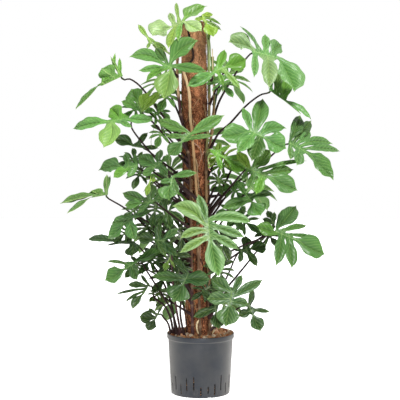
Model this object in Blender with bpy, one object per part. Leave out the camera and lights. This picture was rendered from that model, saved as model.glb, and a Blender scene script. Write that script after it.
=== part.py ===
"""Potted philodendron that climbs a coir pole, in its culture pot.

Metres, +Z up, origin at the middle of the pot's underside. Leaves and petioles are laid out on a
front elevation: (x, z) in millimetres on the plane through the pot's axis, as seen from EYE, and a
depth behind that plane (negative is nearer to the eye). A place moves along its sight line when
its depth is other than nought, so the elevation stays true from EYE.
"""
import math
import random

import bmesh
import bpy
from mathutils import Matrix, Vector

MM = 0.001
EYE = Vector((0.0, -4.2, 0.9645))
GAP = 0.0003
SEED = 11

# Pot: outline radii and heights
POT_HEIGHT = 0.198
POT_RIM_RADIUS = 0.110
POT_TOP_RADIUS = 0.106
POT_BASE_RADIUS = 0.0955
POT_BAND_HEIGHT = 0.018
POT_WALL = 0.002
POT_FLOOR = 0.005
POT_SIDES = 52

# Slots in the pot's wall: bottom and top height in mm, once round for each half of the pot
SLOT_WIDTH = 0.003
SLOT_HEIGHTS = ((24, 70), (7, 36), (14, 38), (8, 45), (21, 72), (8, 43), (22, 66),
                (26, 41), (39, 68), (10, 40), (20, 66), (8, 42), (22, 64))
SLOT_FIRST_ANGLE = math.radians(-103)
NOTCH_COUNT = 4
NOTCH_WIDTH = 0.019
NOTCH_HEIGHT = 0.0035
NOTCH_DEPTH = 0.003
NOTCH_FIRST_ANGLE = math.radians(-73)

# Clay granules that fill the pot
CLAY_TOP = 0.187
CLAY_BUMP = 0.003
CLAY_RINGS = (0.1055, 0.096, 0.085, 0.074, 0.063, 0.052)
CLAY_FIT = 0.0005
HOLE_FIT = 0.0006

# Climbing pole: coir round a wooden stake, leaning a little to the left
POLE_RADIUS = 0.040
POLE_TOP = 1.211
POLE_FOOT = 0.012
POLE_BASE_X = -0.004
POLE_TOP_X = -0.023
POLE_SIDES = 16
POLE_RINGS = 13
COIR_ROUGHNESS = 0.0014
STAKE_RADIUS = 0.012
STAKE_TOP = 1.190

# Blades
BLADE = 0.0009
SAG = 0.05
ARCH = 0.07
ARCH_STAGGER = 0.02
FOLD = math.radians(10)
LOBE_WIDEST = 0.55
LOBE_NECK = 0.45
LOBE_NECK_SPAN = 0.4
TIP_BLUNTNESS = 2.1
RACHIS_SHARE = 0.38
WIDE_LOBE = 0.028
WIDE_ROWS = (0.28, 0.58, 0.84)
NARROW_ROWS = (0.34, 0.72)
LEAST_HALF_WIDTH = 0.0012
# Folds hide some of a lobe, so it is cut wider than it shows by this factor
FULLNESS = 1.12
# Leaves turn outward by this many degrees for each metre that the hub lies to the side
FACE_TURN = 110
# A lobe seen at a slant is made wider, but only down to this share of its width in view
LEAST_VIEW = 0.55
# Edge of the rachis between lobes, from the back of the hub to the terminal lobe:
# along (share of the rachis) and aside (share of the leaf's length)
RACHIS_EDGE = ((-0.03, 0.0), (-0.10, 0.050), (0.22, 0.062), (0.58, 0.055), (1.0, 0.034))
# Share of the rachis' edge, counted from the back, that the hindmost lobe takes
HIND_LOBE_SHARE = 0.45

# Stems and petioles
STEM_RADIUS = 0.0048
STEM_SIDES = 7
PETIOLE_FOOT_RADIUS = 0.0026
PETIOLE_TIP_RADIUS = 0.0017
PETIOLE_SIDES = 5
PETIOLE_STEP = 0.045
PETIOLE_SEAT = 0.004
ROOT_FOOT_RADIUS = 0.0016
ROOT_TIP_RADIUS = 0.0009

# Stems on the pole: name, then (height in mm, angle round the pole in degrees, distance of the
# stem's middle from the pole's axis in mm). Angle 0 is the right, -90 the front.
STEMS = (
    ("vine_left", ((130, -112, 49), (450, -112, 47), (741, -114, 46), (803, -127, 46),
                   (884, -148, 46), (930, -165, 50), (1036, -175, 55), (1105, -178, 52))),
    ("vine_front", ((130, -82, 49), (450, -85, 47), (600, -85, 46), (800, -98, 46),
                    (900, -108, 46), (984, -113, 46), (1072, -150, 47))),
    ("vine_right", ((130, -40, 49), (600, -42, 46), (760, -42, 46), (850, -30, 47),
                    (950, -10, 48), (1165, 0, 47))),
    ("vine_back_right", ((130, 35, 49), (700, 30, 47), (850, 15, 55), (960, 5, 64),
                         (1095, 8, 60))),
    ("vine_back_left", ((130, 140, 49), (500, 135, 47), (800, 150, 47), (1060, 140, 47))),
)

# Leaves: name, hub (x, z, depth), the way the upper face looks (compass angle, rise), and the
# lobes as tip (x, z, width), clockwise or not, with the terminal lobe first. A fourth value is
# the tip's depth, for a lobe that doesn't lie in the blade's plane.
LEAVES = (
    ("crown", (-52, 1208, -56), (-100, 50),
     ((-154, 1160, 56), (-104, 1120, 25), (-72, 1142, 16), (5, 1176, 34), (22, 1256, 34),
      (-78, 1268, 12), (-100, 1235, 15))),
    ("top_right", (4, 1228, -36), (-60, 55),
     ((42, 1158, 32, -72), (68, 1178, 9, -50), (66, 1196, 9, -26), (40, 1229, 8, 10),
      (-20, 1214, 9, -56))),
    ("young_left", (-150, 1130, 40), (-90, 20),
     ((-201, 1198, 15), (-105, 1113, 16), (-172, 1120, 12))),
    ("upper_left", (-92, 1060, -145), (-100, 28),
     ((-230, 1093, 32), (-200, 1049, 20), (-176, 1014, 18), (-120, 959, 57), (20, 1048, 27),
      (-7, 1146, 44), (-146, 1124, 27))),
    ("upper_right", (38, 1045, -120), (-80, 35),
     ((148, 1086, 50, -70), (78, 1118, 26), (-45, 998, 30), (75, 1000, 12), (130, 988, 18))),
    ("high_right", (167, 1112, -55), (-80, 42),
     ((303, 982, 58), (220, 992, 34), (172, 1026, 22), (90, 1140, 42), (126, 1192, 18),
      (207, 1167, 25), (262, 1132, 37))),
    ("edge_right", (222, 987, -10), (-60, 75),
     ((358, 892, 19, -30), (325, 909, 11, -60), (249, 1054, 28, 60), (273, 1020, 29, 55),
      (223, 1040, 14, 40))),
    ("middle_right", (158, 858, -160), (-85, 38),
     ((278, 798, 50), (278, 863, 34), (200, 960, 46), (136, 933, 24), (64, 836, 52),
      (117, 785, 40), (166, 758, 44))),
    ("far_right", (286, 819, -80), (-80, 33),
     ((431, 696, 46), (452, 789, 21), (430, 812, 22), (356, 852, 24), (358, 890, 34),
      (321, 907, 34), (290, 762, 20), (312, 744, 28))),
    ("inner_right", (150, 735, -130), (-90, 30),
     ((315, 663, 60), (302, 731, 30), (344, 759, 14), (227, 795, 40), (116, 790, 28),
      (133, 695, 12), (153, 664, 18), (180, 650, 26))),
    ("under_right", (148, 653, -85), (-90, 30),
     ((196, 581, 58), (236, 650, 20), (120, 690, 14), (68, 603, 34))),
    ("shade_right", (100, 674, 15), (-90, 35),
     ((27, 662, 22), (45, 711, 9), (82, 635, 16), (150, 682, 20))),
    ("young_right", (30, 796, -62), (-70, 30),
     ((150, 729, 46), (90, 808, 10), (68, 727, 16))),
    ("front_high", (-33, 850, -160), (-90, 30),
     ((-105, 775, 40), (-112, 838, 14), (-145, 893, 26), (78, 907, 30), (42, 841, 12))),
    ("hand_left", (-252, 1032, -30), (180, 64),
     ((-403, 925, 32, -30), (-318, 1012, 26, -62), (-319, 1058, 32, -75), (-290, 1096, 9, -68),
      (-274, 1108, 9, 20), (-260, 1092, 9, 0), (-300, 1062, 26, 22))),
    ("long_left", (-232, 899, -70), (-100, 45),
     ((-413, 862, 27), (-293, 928, 44), (-314, 801, 40), (-220, 866, 15), (-150, 890, 22))),
    ("round_left", (-190, 916, -55), (-90, 20),
     ((-222, 992, 54), (-256, 952, 24), (-168, 978, 26), (-126, 984, 28))),
    ("dark_left", (-180, 799, 40), (-90, 20),
     ((-281, 826, 36), (-170, 851, 19), (-135, 800, 16))),
    ("teal_left", (-125, 755, -80), (-100, 30),
     ((-188, 710, 32), (-203, 776, 38), (-130, 797, 30), (-98, 775, 20), (-104, 712, 22))),
    ("arched_left", (-203, 744, -50), (-100, 50),
     ((-331, 727, 28), (-282, 704, 18), (-233, 704, 22), (-213, 782, 12), (-244, 784, 20))),
    ("front_left", (-90, 711, -180), (-90, 35),
     ((-101, 631, 50), (-73, 648, 18), (-10, 720, 20), (-132, 690, 16))),
    ("bud_left", (-160, 712, -120), (-90, 10),
     ((-175, 645, 17), (-143, 697, 12))),
    ("broad_left", (-150, 628, -110), (-95, 32),
     ((-246, 613, 28), (-254, 655, 30), (-155, 684, 36), (-120, 645, 18), (-204, 588, 15))),
    ("low_left", (-215, 583, -60), (-100, 35),
     ((-300, 506, 48), (-290, 556, 28), (-163, 598, 26), (-214, 500, 32))),
    ("reaching_left", (-302, 649, -20), (180, 75),
     ((-433, 588, 26, -20), (-457, 619, 24, -62), (-352, 664, 24, -55), (-303, 716, 16, -60),
      (-292, 712, 12, 30), (-368, 652, 14, 30))),
    ("thin_left", (-209, 490, -20), (-100, 50),
     ((-370, 503, 20), (-305, 482, 9, -50), (-222, 447, 40), (-226, 522, 26))),
    ("oval_left", (-205, 430, -60), (-95, 40),
     ((-313, 368, 46), (-307, 431, 9), (-120, 474, 46), (-205, 370, 30))),
    ("shade_left", (-118, 498, -125), (-95, 30),
     ((-204, 510, 33), (-135, 560, 24), (-70, 540, 20), (-76, 448, 24), (-110, 446, 18))),
    ("deep_left", (-98, 598, -22), (-90, 25),
     ((-145, 560, 26), (-125, 640, 20), (-62, 640, 20), (-52, 560, 24), (-98, 535, 28))),
    ("front_low", (-37, 394, -175), (-90, 32),
     ((-88, 299, 70), (-160, 383, 28), (-92, 450, 20), (33, 372, 42))),
    ("hanging_left", (-97, 452, -150), (-90, 0),
     ((-118, 400, 18), (-82, 410, 8))),
    ("star_left", (-166, 356, -50), (-100, 40),
     ((-222, 273, 22), (-246, 298, 13), (-280, 322, 9), (-237, 355, 17), (-195, 388, 10))),
    ("pair_left", (-135, 262, -75), (-95, 35),
     ((-173, 202, 37), (-200, 249, 36), (-171, 277, 10), (-125, 285, 10))),
    ("small_left", (-115, 300, -20), (-90, 30),
     ((-164, 306, 13), (-148, 283, 13), (-128, 323, 10))),
    ("front_right", (103, 335, -165), (-90, 32),
     ((83, 216, 62), (19, 308, 34), (34, 377, 35), (135, 388, 21), (204, 371, 28),
      (158, 291, 26))),
    ("lowest_right", (155, 290, -70), (-85, 30),
     ((197, 201, 40), (227, 265, 14), (172, 342, 21), (118, 300, 16), (123, 250, 26))),
    ("shade_low", (45, 298, -110), (-90, 25),
     ((60, 208, 42), (-25, 247, 26), (5, 338, 25), (62, 345, 16))),
    ("dark_right", (130, 465, -20), (-90, 25),
     ((215, 485, 46), (185, 414, 20), (127, 427, 18), (106, 474, 12), (148, 515, 34))),
    ("wide_right", (243, 530, -90), (-85, 38),
     ((406, 452, 60), (381, 506, 18), (346, 548, 20), (311, 614, 50), (181, 548, 36),
      (246, 415, 32), (298, 408, 34))),
    ("behind_right", (240, 548, 0), (-90, 20),
     ((216, 598, 22), (200, 570, 18), (240, 594, 13))),
    ("pale_front", (25, 572, -235), (-88, 28),
     ((60, 380, 54), (125, 470, 24), (145, 510, 23), (169, 556, 35), (-8, 652, 27),
      (-93, 612, 42), (-67, 505, 24), (-69, 458, 25))),
)

# Where the rachis ends, (x, z), on leaves whose terminal lobe turns away from it
NECKS = {
    "high_right": (245, 1092),
    "far_right": (340, 788),
    "inner_right": (218, 708),
    "wide_right": (302, 505),
    "pale_front": (32, 500),
    "upper_left": (-118, 1070),
    "hand_left": (-318, 1001),
    "reaching_left": (-350, 640),
}

# Lobes that bend sideways, in the order of the table: how far the middle lies off the straight
# line, as a share of the lobe's length, to the left (or right if negative) on the way out
BENDS = {
    "crown": (-0.15, 0, 0, 0, 0.15),
    "upper_left": (-0.12, 0, -0.10, 0, 0, 0.15),
    "high_right": (0.12, 0, 0, -0.25, 0, 0, 0.12),
    "middle_right": (0, 0.15),
    "far_right": (0.08, 0, 0.08),
    "under_right": (0, 0.06),
    "long_left": (0, -0.08, 0.10),
    "dark_left": (-0.11,),
    "arched_left": (-0.18,),
    "front_left": (-0.14,),
    "star_left": (-0.10,),
    "pale_front": (0, 0, 0, 0.09, 0, -0.14, -0.10),
}

# Leaves folded up along the rachis and seen edge on: every lobe of theirs has its own depth
EDGE_ON = ("hand_left", "reaching_left")

# Petioles: leaf, stem, height in mm where it leaves the stem, and places on its way (x, z, depth)
PETIOLES = (
    ("crown", "vine_front", 1050, ((-47, 1066, -42), (-23, 1092, -46), (-34, 1152, -48))),
    ("top_right", "vine_right", 1150, ((33, 1209, -8), (20, 1224, -12))),
    ("young_left", "vine_left", 1085, ((-112, 1112, 62),)),
    ("upper_left", "vine_left", 1030, ((-82, 1040, -40),)),
    ("upper_right", "vine_right", 1005, ((38, 1025, -30),)),
    ("high_right", "vine_back_right", 880, ((60, 950, 20), (100, 1020, 25), (138, 1077, 12))),
    ("edge_right", "vine_back_right", 800, ((60, 850, 10), (95, 880, 10), (145, 935, 10),
                                            (190, 970, 5))),
    ("middle_right", "vine_right", 600, ((60, 655, -40), (86, 700, -32), (104, 740, -18),
                                         (138, 812, -35))),
    ("far_right", "vine_right", 585, ((60, 636, -20), (110, 682, -5), (200, 750, 0),
                                      (240, 785, -5))),
    ("inner_right", "vine_right", 572, ((60, 628, -60), (110, 690, -65))),
    ("under_right", "vine_right", 540, ((70, 580, -30), (110, 620, -35))),
    ("shade_right", "vine_back_right", 640, ((70, 650, 20),)),
    ("young_right", "vine_right", 780, ((24, 786, -40),)),
    ("front_high", "vine_front", 830, ((-32, 838, -70),)),
    ("hand_left", "vine_left", 800, ((-92, 862, -20), (-118, 900, -10), (-168, 968, -10),
                                     (-200, 1005, -15), (-228, 1023, -20))),
    ("long_left", "vine_left", 690, ((-110, 730, -15), (-190, 820, -30), (-222, 865, -45))),
    ("round_left", "vine_left", 740, ((-80, 790, -10), (-118, 842, 0), (-150, 880, 0))),
    ("dark_left", "vine_back_left", 700, ((-110, 745, 30),)),
    ("teal_left", "vine_left", 650, ((-95, 700, -45),)),
    ("arched_left", "vine_left", 600, ((-110, 650, -10), (-170, 710, -15))),
    ("front_left", "vine_front", 640, ((-60, 680, -85),)),
    ("bud_left", "vine_left", 620, ((-110, 690, -60),)),
    ("broad_left", "vine_left", 540, ((-96, 585, -62),)),
    ("low_left", "vine_left", 480, ((-110, 520, -25), (-170, 560, -25))),
    ("reaching_left", "vine_left", 430, ((-125, 503, 0), (-160, 530, 5), (-212, 577, 10),
                                         (-250, 608, 5))),
    ("thin_left", "low_shoots", -80, ((-95, 290, -15), (-130, 380, -10), (-180, 455, -5))),
    ("oval_left", "low_shoots", -75, ((-90, 260, -30), (-115, 305, -35), (-172, 395, -45),
                                      (-190, 425, -50))),
    ("shade_left", "vine_left", 440, ((-80, 462, -45),)),
    ("deep_left", "vine_left", 515, ((-75, 558, -10),)),
    ("front_low", "low_shoots", -52, ((-66, 260, -62), (-58, 330, -88))),
    ("hanging_left", "low_shoots", -62, ((-78, 270, -50), (-92, 380, -80))),
    ("star_left", "low_shoots", -88, ((-97, 240, -45), (-117, 285, -45), (-150, 312, -48))),
    ("pair_left", "low_shoots", -95, ((-105, 225, -50), (-120, 245, -52))),
    ("small_left", "low_shoots", -70, ((-85, 240, -20), (-100, 280, -20))),
    ("front_right", "vine_right", 250, ((50, 280, -60), (80, 315, -75))),
    ("lowest_right", "vine_right", 210, ((70, 235, -20), (120, 275, -10))),
    ("shade_low", "vine_right", 270, ((36, 285, -55),)),
    ("dark_right", "vine_right", 300, ((60, 330, -15), (87, 382, 0), (112, 440, 0))),
    ("wide_right", "vine_right", 410, ((73, 450, -25), (140, 484, -30), (205, 510, -40))),
    ("behind_right", "vine_back_right", 290, ((60, 318, 40), (103, 365, 40), (180, 460, 40),
                                              (225, 520, 30))),
    ("pale_front", "vine_front", 560, ((15, 575, -100), (22, 582, -160))),
)

# Aerial roots on the face of the pole: stem, height in mm where it leaves the stem, and places
ROOTS = (
    ("vine_front", 822, ((-4, 802, -42), (2, 784, -40), (4, 764, -39))),
    ("vine_front", 775, ((-12, 752, -43), (-9, 710, -43), (-5, 662, -42))),
    ("vine_front", 620, ((8, 606, -41), (15, 592, -38))),
    ("vine_front", 248, ((-12, 225, -44), (-11, 205, -44), (-6, 193, -44))),
    ("vine_right", 226, ((44, 207, -24), (40, 193, -20))),
)

# Crown of the low shoots: a short rhizome half sunk in the granules, (x, y, z) in mm
CROWN_PATH = ((-98, -26, 189), (-74, -32, 190), (-46, -46, 189))
CROWN_RADIUS = 0.0062

# Leaves at the back: hub (x, z, depth), compass angle and slope of the midrib, length in mm.
# Each lies behind foliage or the pole as seen from EYE.
BACK_LEAVES = (
    ((-70, 335, 150), (120, -50), 150), ((60, 330, 130), (60, -55), 150),
    ((15, 500, 170), (85, -50), 175), ((-130, 560, 160), (135, -45), 160),
    ((-95, 740, 170), (115, -50), 170), ((145, 700, 150), (50, -40), 170),
    ((10, 850, 160), (90, -50), 175), ((-110, 1040, 120), (140, -40), 160),
    ((80, 1050, 110), (50, -45), 150),
)
BACK_PETIOLE_DROP = 110
# Lobes of a standard leaf: tip along and aside, and width, in shares of the leaf's length
STANDARD_TERMINAL = 0.30
STANDARD_BEND = 0.07
STANDARD_LOBES = ((0.64, 0.44, 0.13), (0.34, 0.54, 0.13), (-0.06, 0.58, 0.22),
                  (-0.36, 0.22, 0.13))

# Colours
POT_GREY = (0.071, 0.077, 0.092)
CLAY_BROWN = (0.24, 0.115, 0.055)
COIR_BROWN = (0.185, 0.085, 0.048)
STAKE_WOOD = (0.36, 0.24, 0.13)
STEM_BROWN = (0.17, 0.105, 0.06)
LEAF_LOW = (0.042, 0.125, 0.050)
LEAF_HIGH = (0.135, 0.270, 0.075)


def clear_scene():
    for thing in list(bpy.data.objects):
        bpy.data.objects.remove(thing, do_unlink=True)


def material(name, colour, roughness):
    made = bpy.data.materials.new(name)
    made.use_nodes = True
    shader = made.node_tree.nodes["Principled BSDF"]
    shader.inputs["Base Color"].default_value = (*colour, 1.0)
    shader.inputs["Roughness"].default_value = roughness
    shader.inputs["Metallic"].default_value = 0.0
    made.diffuse_color = (*colour, 1.0)
    return made


def mesh_object(name, points, faces, paint=None):
    mesh = bpy.data.meshes.new(name)
    mesh.from_pydata([tuple(p) for p in points], [], faces)
    mesh.update()
    if paint is not None:
        mesh.materials.append(paint)
    made = bpy.data.objects.new(name, mesh)
    bpy.context.scene.collection.objects.link(made)
    return made


def boolean(target, tools, operation, solver="EXACT"):
    """Applies one Boolean with a collection of tools, and removes the tools."""
    group = bpy.data.collections.new(target.name + "_tools")
    bpy.context.scene.collection.children.link(group)
    for tool in tools:
        tool.hide_render = True
        tool.display_type = "WIRE"
        bpy.context.scene.collection.objects.unlink(tool)
        group.objects.link(tool)
    cut = target.modifiers.new("cut", "BOOLEAN")
    cut.operation = operation
    cut.operand_type = "COLLECTION"
    cut.collection = group
    cut.solver = solver
    bpy.context.view_layer.update()
    graph = bpy.context.evaluated_depsgraph_get()
    result = bpy.data.meshes.new_from_object(target.evaluated_get(graph))
    target.modifiers.clear()
    target.data = result
    for tool in tools:
        bpy.data.objects.remove(tool, do_unlink=True)
    bpy.data.collections.remove(group)
    return target


def lathe(name, profile, sides, paint, warp=None):
    """Turns a profile of (radius, height) from axis to axis round Z; warp moves each point."""
    points = []
    rings = []
    for row, (radius, height) in enumerate(profile):
        ring = []
        count = 1 if radius < 1e-9 else sides
        for step in range(count):
            angle = math.tau * step / sides
            place = Vector((radius * math.cos(angle), radius * math.sin(angle), height))
            if warp is not None:
                place = warp(place, row, step)
            ring.append(len(points))
            points.append(place)
        rings.append(ring)
    faces = []
    for lower, upper in zip(rings, rings[1:]):
        for step in range(sides):
            after = (step + 1) % sides
            if len(lower) == 1:
                faces.append((lower[0], upper[after], upper[step]))
            elif len(upper) == 1:
                faces.append((lower[step], lower[after], upper[0]))
            else:
                faces.append((lower[step], lower[after], upper[after], upper[step]))
    return mesh_object(name, points, faces, paint)


def box(name, size, centre, turn):
    shape = bmesh.new()
    bmesh.ops.create_cube(shape, size=1.0)
    place = Matrix.Rotation(turn, 4, "Z") @ Matrix.Translation(centre)
    bmesh.ops.transform(shape, matrix=place @ Matrix.Diagonal((*size, 1.0)), verts=shape.verts)
    mesh = bpy.data.meshes.new(name)
    shape.to_mesh(mesh)
    shape.free()
    made = bpy.data.objects.new(name, mesh)
    bpy.context.scene.collection.objects.link(made)
    return made


def pole_x(height):
    """The pole's axis at a height: it leans a little to the left."""
    return POLE_BASE_X + (POLE_TOP_X - POLE_BASE_X) * height / POLE_TOP


def lean(place, row, step):
    return place + Vector((pole_x(place.z), 0, 0))


def wall_radius(height):
    """Outer radius of the pot's wall below its band."""
    share = height / (POT_HEIGHT - POT_BAND_HEIGHT)
    return POT_BASE_RADIUS + (POT_TOP_RADIUS - POT_BASE_RADIUS) * share


def build_pot():
    band = POT_HEIGHT - POT_BAND_HEIGHT
    edge = 0.0012
    profile = (
        (0, 0), (POT_BASE_RADIUS - edge, 0), (wall_radius(edge), edge),
        (POT_TOP_RADIUS, band), (POT_RIM_RADIUS, band + 0.003),
        (POT_RIM_RADIUS, POT_HEIGHT - edge), (POT_RIM_RADIUS - edge, POT_HEIGHT),
        (POT_RIM_RADIUS - POT_WALL, POT_HEIGHT - edge),
        (POT_RIM_RADIUS - POT_WALL, band + 0.003 - POT_WALL / 2),
        (POT_TOP_RADIUS - POT_WALL, band - POT_WALL / 2),
        (wall_radius(POT_FLOOR) - POT_WALL, POT_FLOOR), (0, POT_FLOOR))
    pot = lathe("pot", profile, POT_SIDES, material("pot_plastic", POT_GREY, 0.5))
    cutters = []
    count = 2 * len(SLOT_HEIGHTS)
    for index in range(count):
        low, high = SLOT_HEIGHTS[index % len(SLOT_HEIGHTS)]
        turn = SLOT_FIRST_ANGLE + math.tau * index / count
        middle = Vector((POT_BASE_RADIUS + 0.002, 0, (low + high) / 2 * MM))
        cutters.append(box("slot", (0.018, SLOT_WIDTH, (high - low) * MM), middle, turn))
    for index in range(NOTCH_COUNT):
        turn = NOTCH_FIRST_ANGLE + math.tau * index / NOTCH_COUNT
        middle = Vector((POT_BASE_RADIUS + 0.005 - NOTCH_DEPTH, 0, 0))
        cutters.append(box("notch", (0.010, NOTCH_WIDTH, 2 * NOTCH_HEIGHT), middle, turn))
    return boolean(pot, cutters, "DIFFERENCE")


def build_pole():
    draw = random.Random(SEED)
    rows = [(STAKE_RADIUS + GAP, POLE_FOOT), (POLE_RADIUS, POLE_FOOT)]
    sunk = 2
    for ring in range(POLE_RINGS):
        share = ring / (POLE_RINGS - 1)
        rows.append((POLE_RADIUS, CLAY_TOP + 0.01 + (POLE_TOP - 0.012 - CLAY_TOP - 0.01) * share))
    profile = [(0, STAKE_TOP + GAP), (STAKE_RADIUS + GAP, STAKE_TOP + GAP)] + rows
    profile += [(POLE_RADIUS - 0.008, POLE_TOP - 0.003), (0, POLE_TOP)]
    rough = set(range(2 + sunk, 2 + sunk + POLE_RINGS))

    def shaped(place, row, step):
        if row in rough:
            flat = Vector((place.x, place.y, 0))
            place = place - flat.normalized() * draw.uniform(0, COIR_ROUGHNESS)
        return lean(place, row, step)

    lathe("coir_pole", profile, POLE_SIDES, material("coir", COIR_BROWN, 0.95), shaped)
    stake = ((0, POLE_FOOT), (STAKE_RADIUS, POLE_FOOT), (STAKE_RADIUS, STAKE_TOP),
             (0, STAKE_TOP))
    lathe("pole_stake", stake, POLE_SIDES, material("stake_wood", STAKE_WOOD, 0.7), lean)


def build_clay(tools):
    draw = random.Random(SEED + 1)
    band = POT_HEIGHT - POT_BAND_HEIGHT
    fit = POT_WALL + CLAY_FIT
    profile = [(0, POT_FLOOR + GAP), (wall_radius(POT_FLOOR) - fit, POT_FLOOR + GAP),
               (POT_TOP_RADIUS - fit, band - POT_WALL / 2 + CLAY_FIT),
               (POT_RIM_RADIUS - fit, band + 0.003 - POT_WALL / 2 + CLAY_FIT)]
    first = len(profile)
    profile += [(min(radius, POT_RIM_RADIUS - fit), CLAY_TOP) for radius in CLAY_RINGS]
    profile.append((0, CLAY_TOP))

    def bumpy(place, row, step):
        if row >= first:
            place = place + Vector((0, 0, draw.uniform(-CLAY_BUMP, CLAY_BUMP)))
        return place

    clay = lathe("clay_granules", profile, POT_SIDES, material("clay", CLAY_BROWN, 0.9), bumpy)
    bore = ((0, POLE_FOOT - GAP), (POLE_RADIUS + GAP, POLE_FOOT - GAP),
            (POLE_RADIUS + GAP, POT_HEIGHT + 0.02), (0, POT_HEIGHT + 0.02))
    tools.append(lathe("bore", bore, POLE_SIDES, None, lean))
    return boolean(clay, tools, "DIFFERENCE")


def smooth_route(places, step):
    """Points about a step apart on a Catmull-Rom curve through the places."""
    ends = [2 * places[0] - places[1]] + list(places) + [2 * places[-1] - places[-2]]
    route = []
    for before, start, end, after in zip(ends, ends[1:], ends[2:], ends[3:]):
        count = max(1, round((end - start).length / step))
        for index in range(count):
            t = index / count
            route.append(0.5 * (2 * start + (end - before) * t
                                + (2 * before - 5 * start + 4 * end - after) * t * t
                                + (3 * start - before - 3 * end + after) * t ** 3))
    route.append(places[-1].copy())
    return route


def tube(name, route, radii, sides, paint=None):
    """A closed tube along a route, with one radius for each point, its frame never twisting."""
    tangents = []
    for index in range(len(route)):
        before = route[max(index - 1, 0)]
        after = route[min(index + 1, len(route) - 1)]
        tangents.append((after - before).normalized())
    side = tangents[0].orthogonal().normalized()
    points = []
    for place, tangent, radius in zip(route, tangents, radii):
        side = (side - tangent * side.dot(tangent)).normalized()
        across = tangent.cross(side)
        for step in range(sides):
            angle = math.tau * step / sides
            points.append(place + (side * math.cos(angle) + across * math.sin(angle)) * radius)
    faces = [tuple(reversed(range(sides)))]
    for ring in range(len(route) - 1):
        for step in range(sides):
            low = ring * sides + step
            nearby = ring * sides + (step + 1) % sides
            faces.append((low, nearby, nearby + sides, low + sides))
    faces.append(tuple(range((len(route) - 1) * sides, len(route) * sides)))
    return mesh_object(name, points, faces, paint)


def at_depth(x, z, depth):
    """A place of the front elevation, moved along its sight line to a depth (all in mm)."""
    flat = Vector((x, 0, z)) * MM
    return EYE + (flat - EYE) * (-EYE.y + depth * MM) / -EYE.y


def compass(angle, rise):
    turn = math.radians(angle)
    lift = math.radians(rise)
    return Vector((math.cos(lift) * math.cos(turn), math.cos(lift) * math.sin(turn),
                   math.sin(lift)))


def on_plane(x, z, hub, normal, sag):
    """Where the sight line of (x, z) meets the plane that lies a sag below the hub's plane."""
    sight = Vector((x, 0, z)) * MM - EYE
    share = (normal.dot(hub - EYE) - sag) / normal.dot(sight)
    return EYE + sight * share


def seen_share(hub, tip, normal):
    """Share of a lobe's real width that shows from EYE, since the table gives widths as seen."""
    sight = (hub - EYE).normalized()
    axis = (tip - hub).normalized()
    across = axis.cross(normal).normalized()
    seen_axis = (axis - sight * axis.dot(sight)).normalized()
    return max(LEAST_VIEW, abs(across.dot(sight.cross(seen_axis))))


def leaf_layout(row):
    """Hub, face normal, end of the rachis and lobe tips of a leaf of the table."""
    name, hub_place, looks, lobes = row
    hub = at_depth(*hub_place)
    bends = BENDS.get(name, ())
    bends = bends + (0,) * (len(lobes) - len(bends))
    if name in EDGE_ON:
        normal = compass(*looks)
    else:
        normal = compass(looks[0] + FACE_TURN * hub.x, looks[1])
    tips = []
    for lobe, bend in zip(lobes, bends):
        x, z, wide = lobe[:3]
        if len(lobe) == 4:
            tip = at_depth(x, z, lobe[3])
        else:
            reach = math.hypot(x - hub_place[0], z - hub_place[1]) * MM
            tip = on_plane(x, z, hub, normal, SAG * reach)
        tips.append((tip, FULLNESS * wide * MM / seen_share(hub, tip, normal), bend))
    if name in EDGE_ON:
        neck = at_depth(*NECKS[name], hub_place[2])
    elif name in NECKS:
        neck = on_plane(*NECKS[name], hub, normal, 0)
    else:
        neck = hub + (tips[0][0] - hub) * RACHIS_SHARE
    return hub, normal, neck, tips


def standard_layout(hub, normal, along, length):
    """The same for a standard leaf, whose lobes follow the shares above."""
    side = normal.cross(along)
    tips = [(hub + along * length - normal * SAG * length, STANDARD_TERMINAL * length, 0)]
    for ahead, aside, wide in STANDARD_LOBES:
        for hand in (1, -1):
            flat = along * ahead + side * aside * hand
            tips.append((hub + (flat - normal * SAG * flat.length) * length, wide * length,
                         STANDARD_BEND * hand))
    return hub, normal, hub + along * length * RACHIS_SHARE, tips


def lobe_width(share, base, wide):
    """Half width along a lobe: a narrow neck, widest past the middle, then a point."""
    if share < LOBE_WIDEST:
        x = share / LOBE_WIDEST
        neck = min(base, LOBE_NECK * wide)
        narrow = base + (neck - base) * min(1.0, x / LOBE_NECK_SPAN)
        return narrow + (wide - narrow) * (3 * x * x - 2 * x ** 3)
    x = (share - LOBE_WIDEST) / (1 - LOBE_WIDEST)
    return wide * (1 - x ** TIP_BLUNTNESS)


def edge_at(share):
    """How far along and aside the rachis' edge is, from the back of the hub (0) to its end (1)."""
    scaled = share * (len(RACHIS_EDGE) - 1)
    index = min(int(scaled), len(RACHIS_EDGE) - 2)
    rest = scaled - index
    return [low * (1 - rest) + high * rest
            for low, high in zip(RACHIS_EDGE[index], RACHIS_EDGE[index + 1])]


def edge_point(share, frame):
    hub, along, side, normal, rachis, length = frame
    ahead, aside = edge_at(share)
    return (hub + along * ahead * rachis + side * aside * length
            + normal * math.tan(FOLD) * aside * length)


def edge_shares(lobes):
    """Where the lobes of one hand part from each other along the rachis' edge, ending at 1."""
    if lobes < 2:
        return [1.0]
    first = max(HIND_LOBE_SHARE, 1 / lobes)
    return [first + (1 - first) * index / (lobes - 1) for index in range(lobes)]


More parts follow.
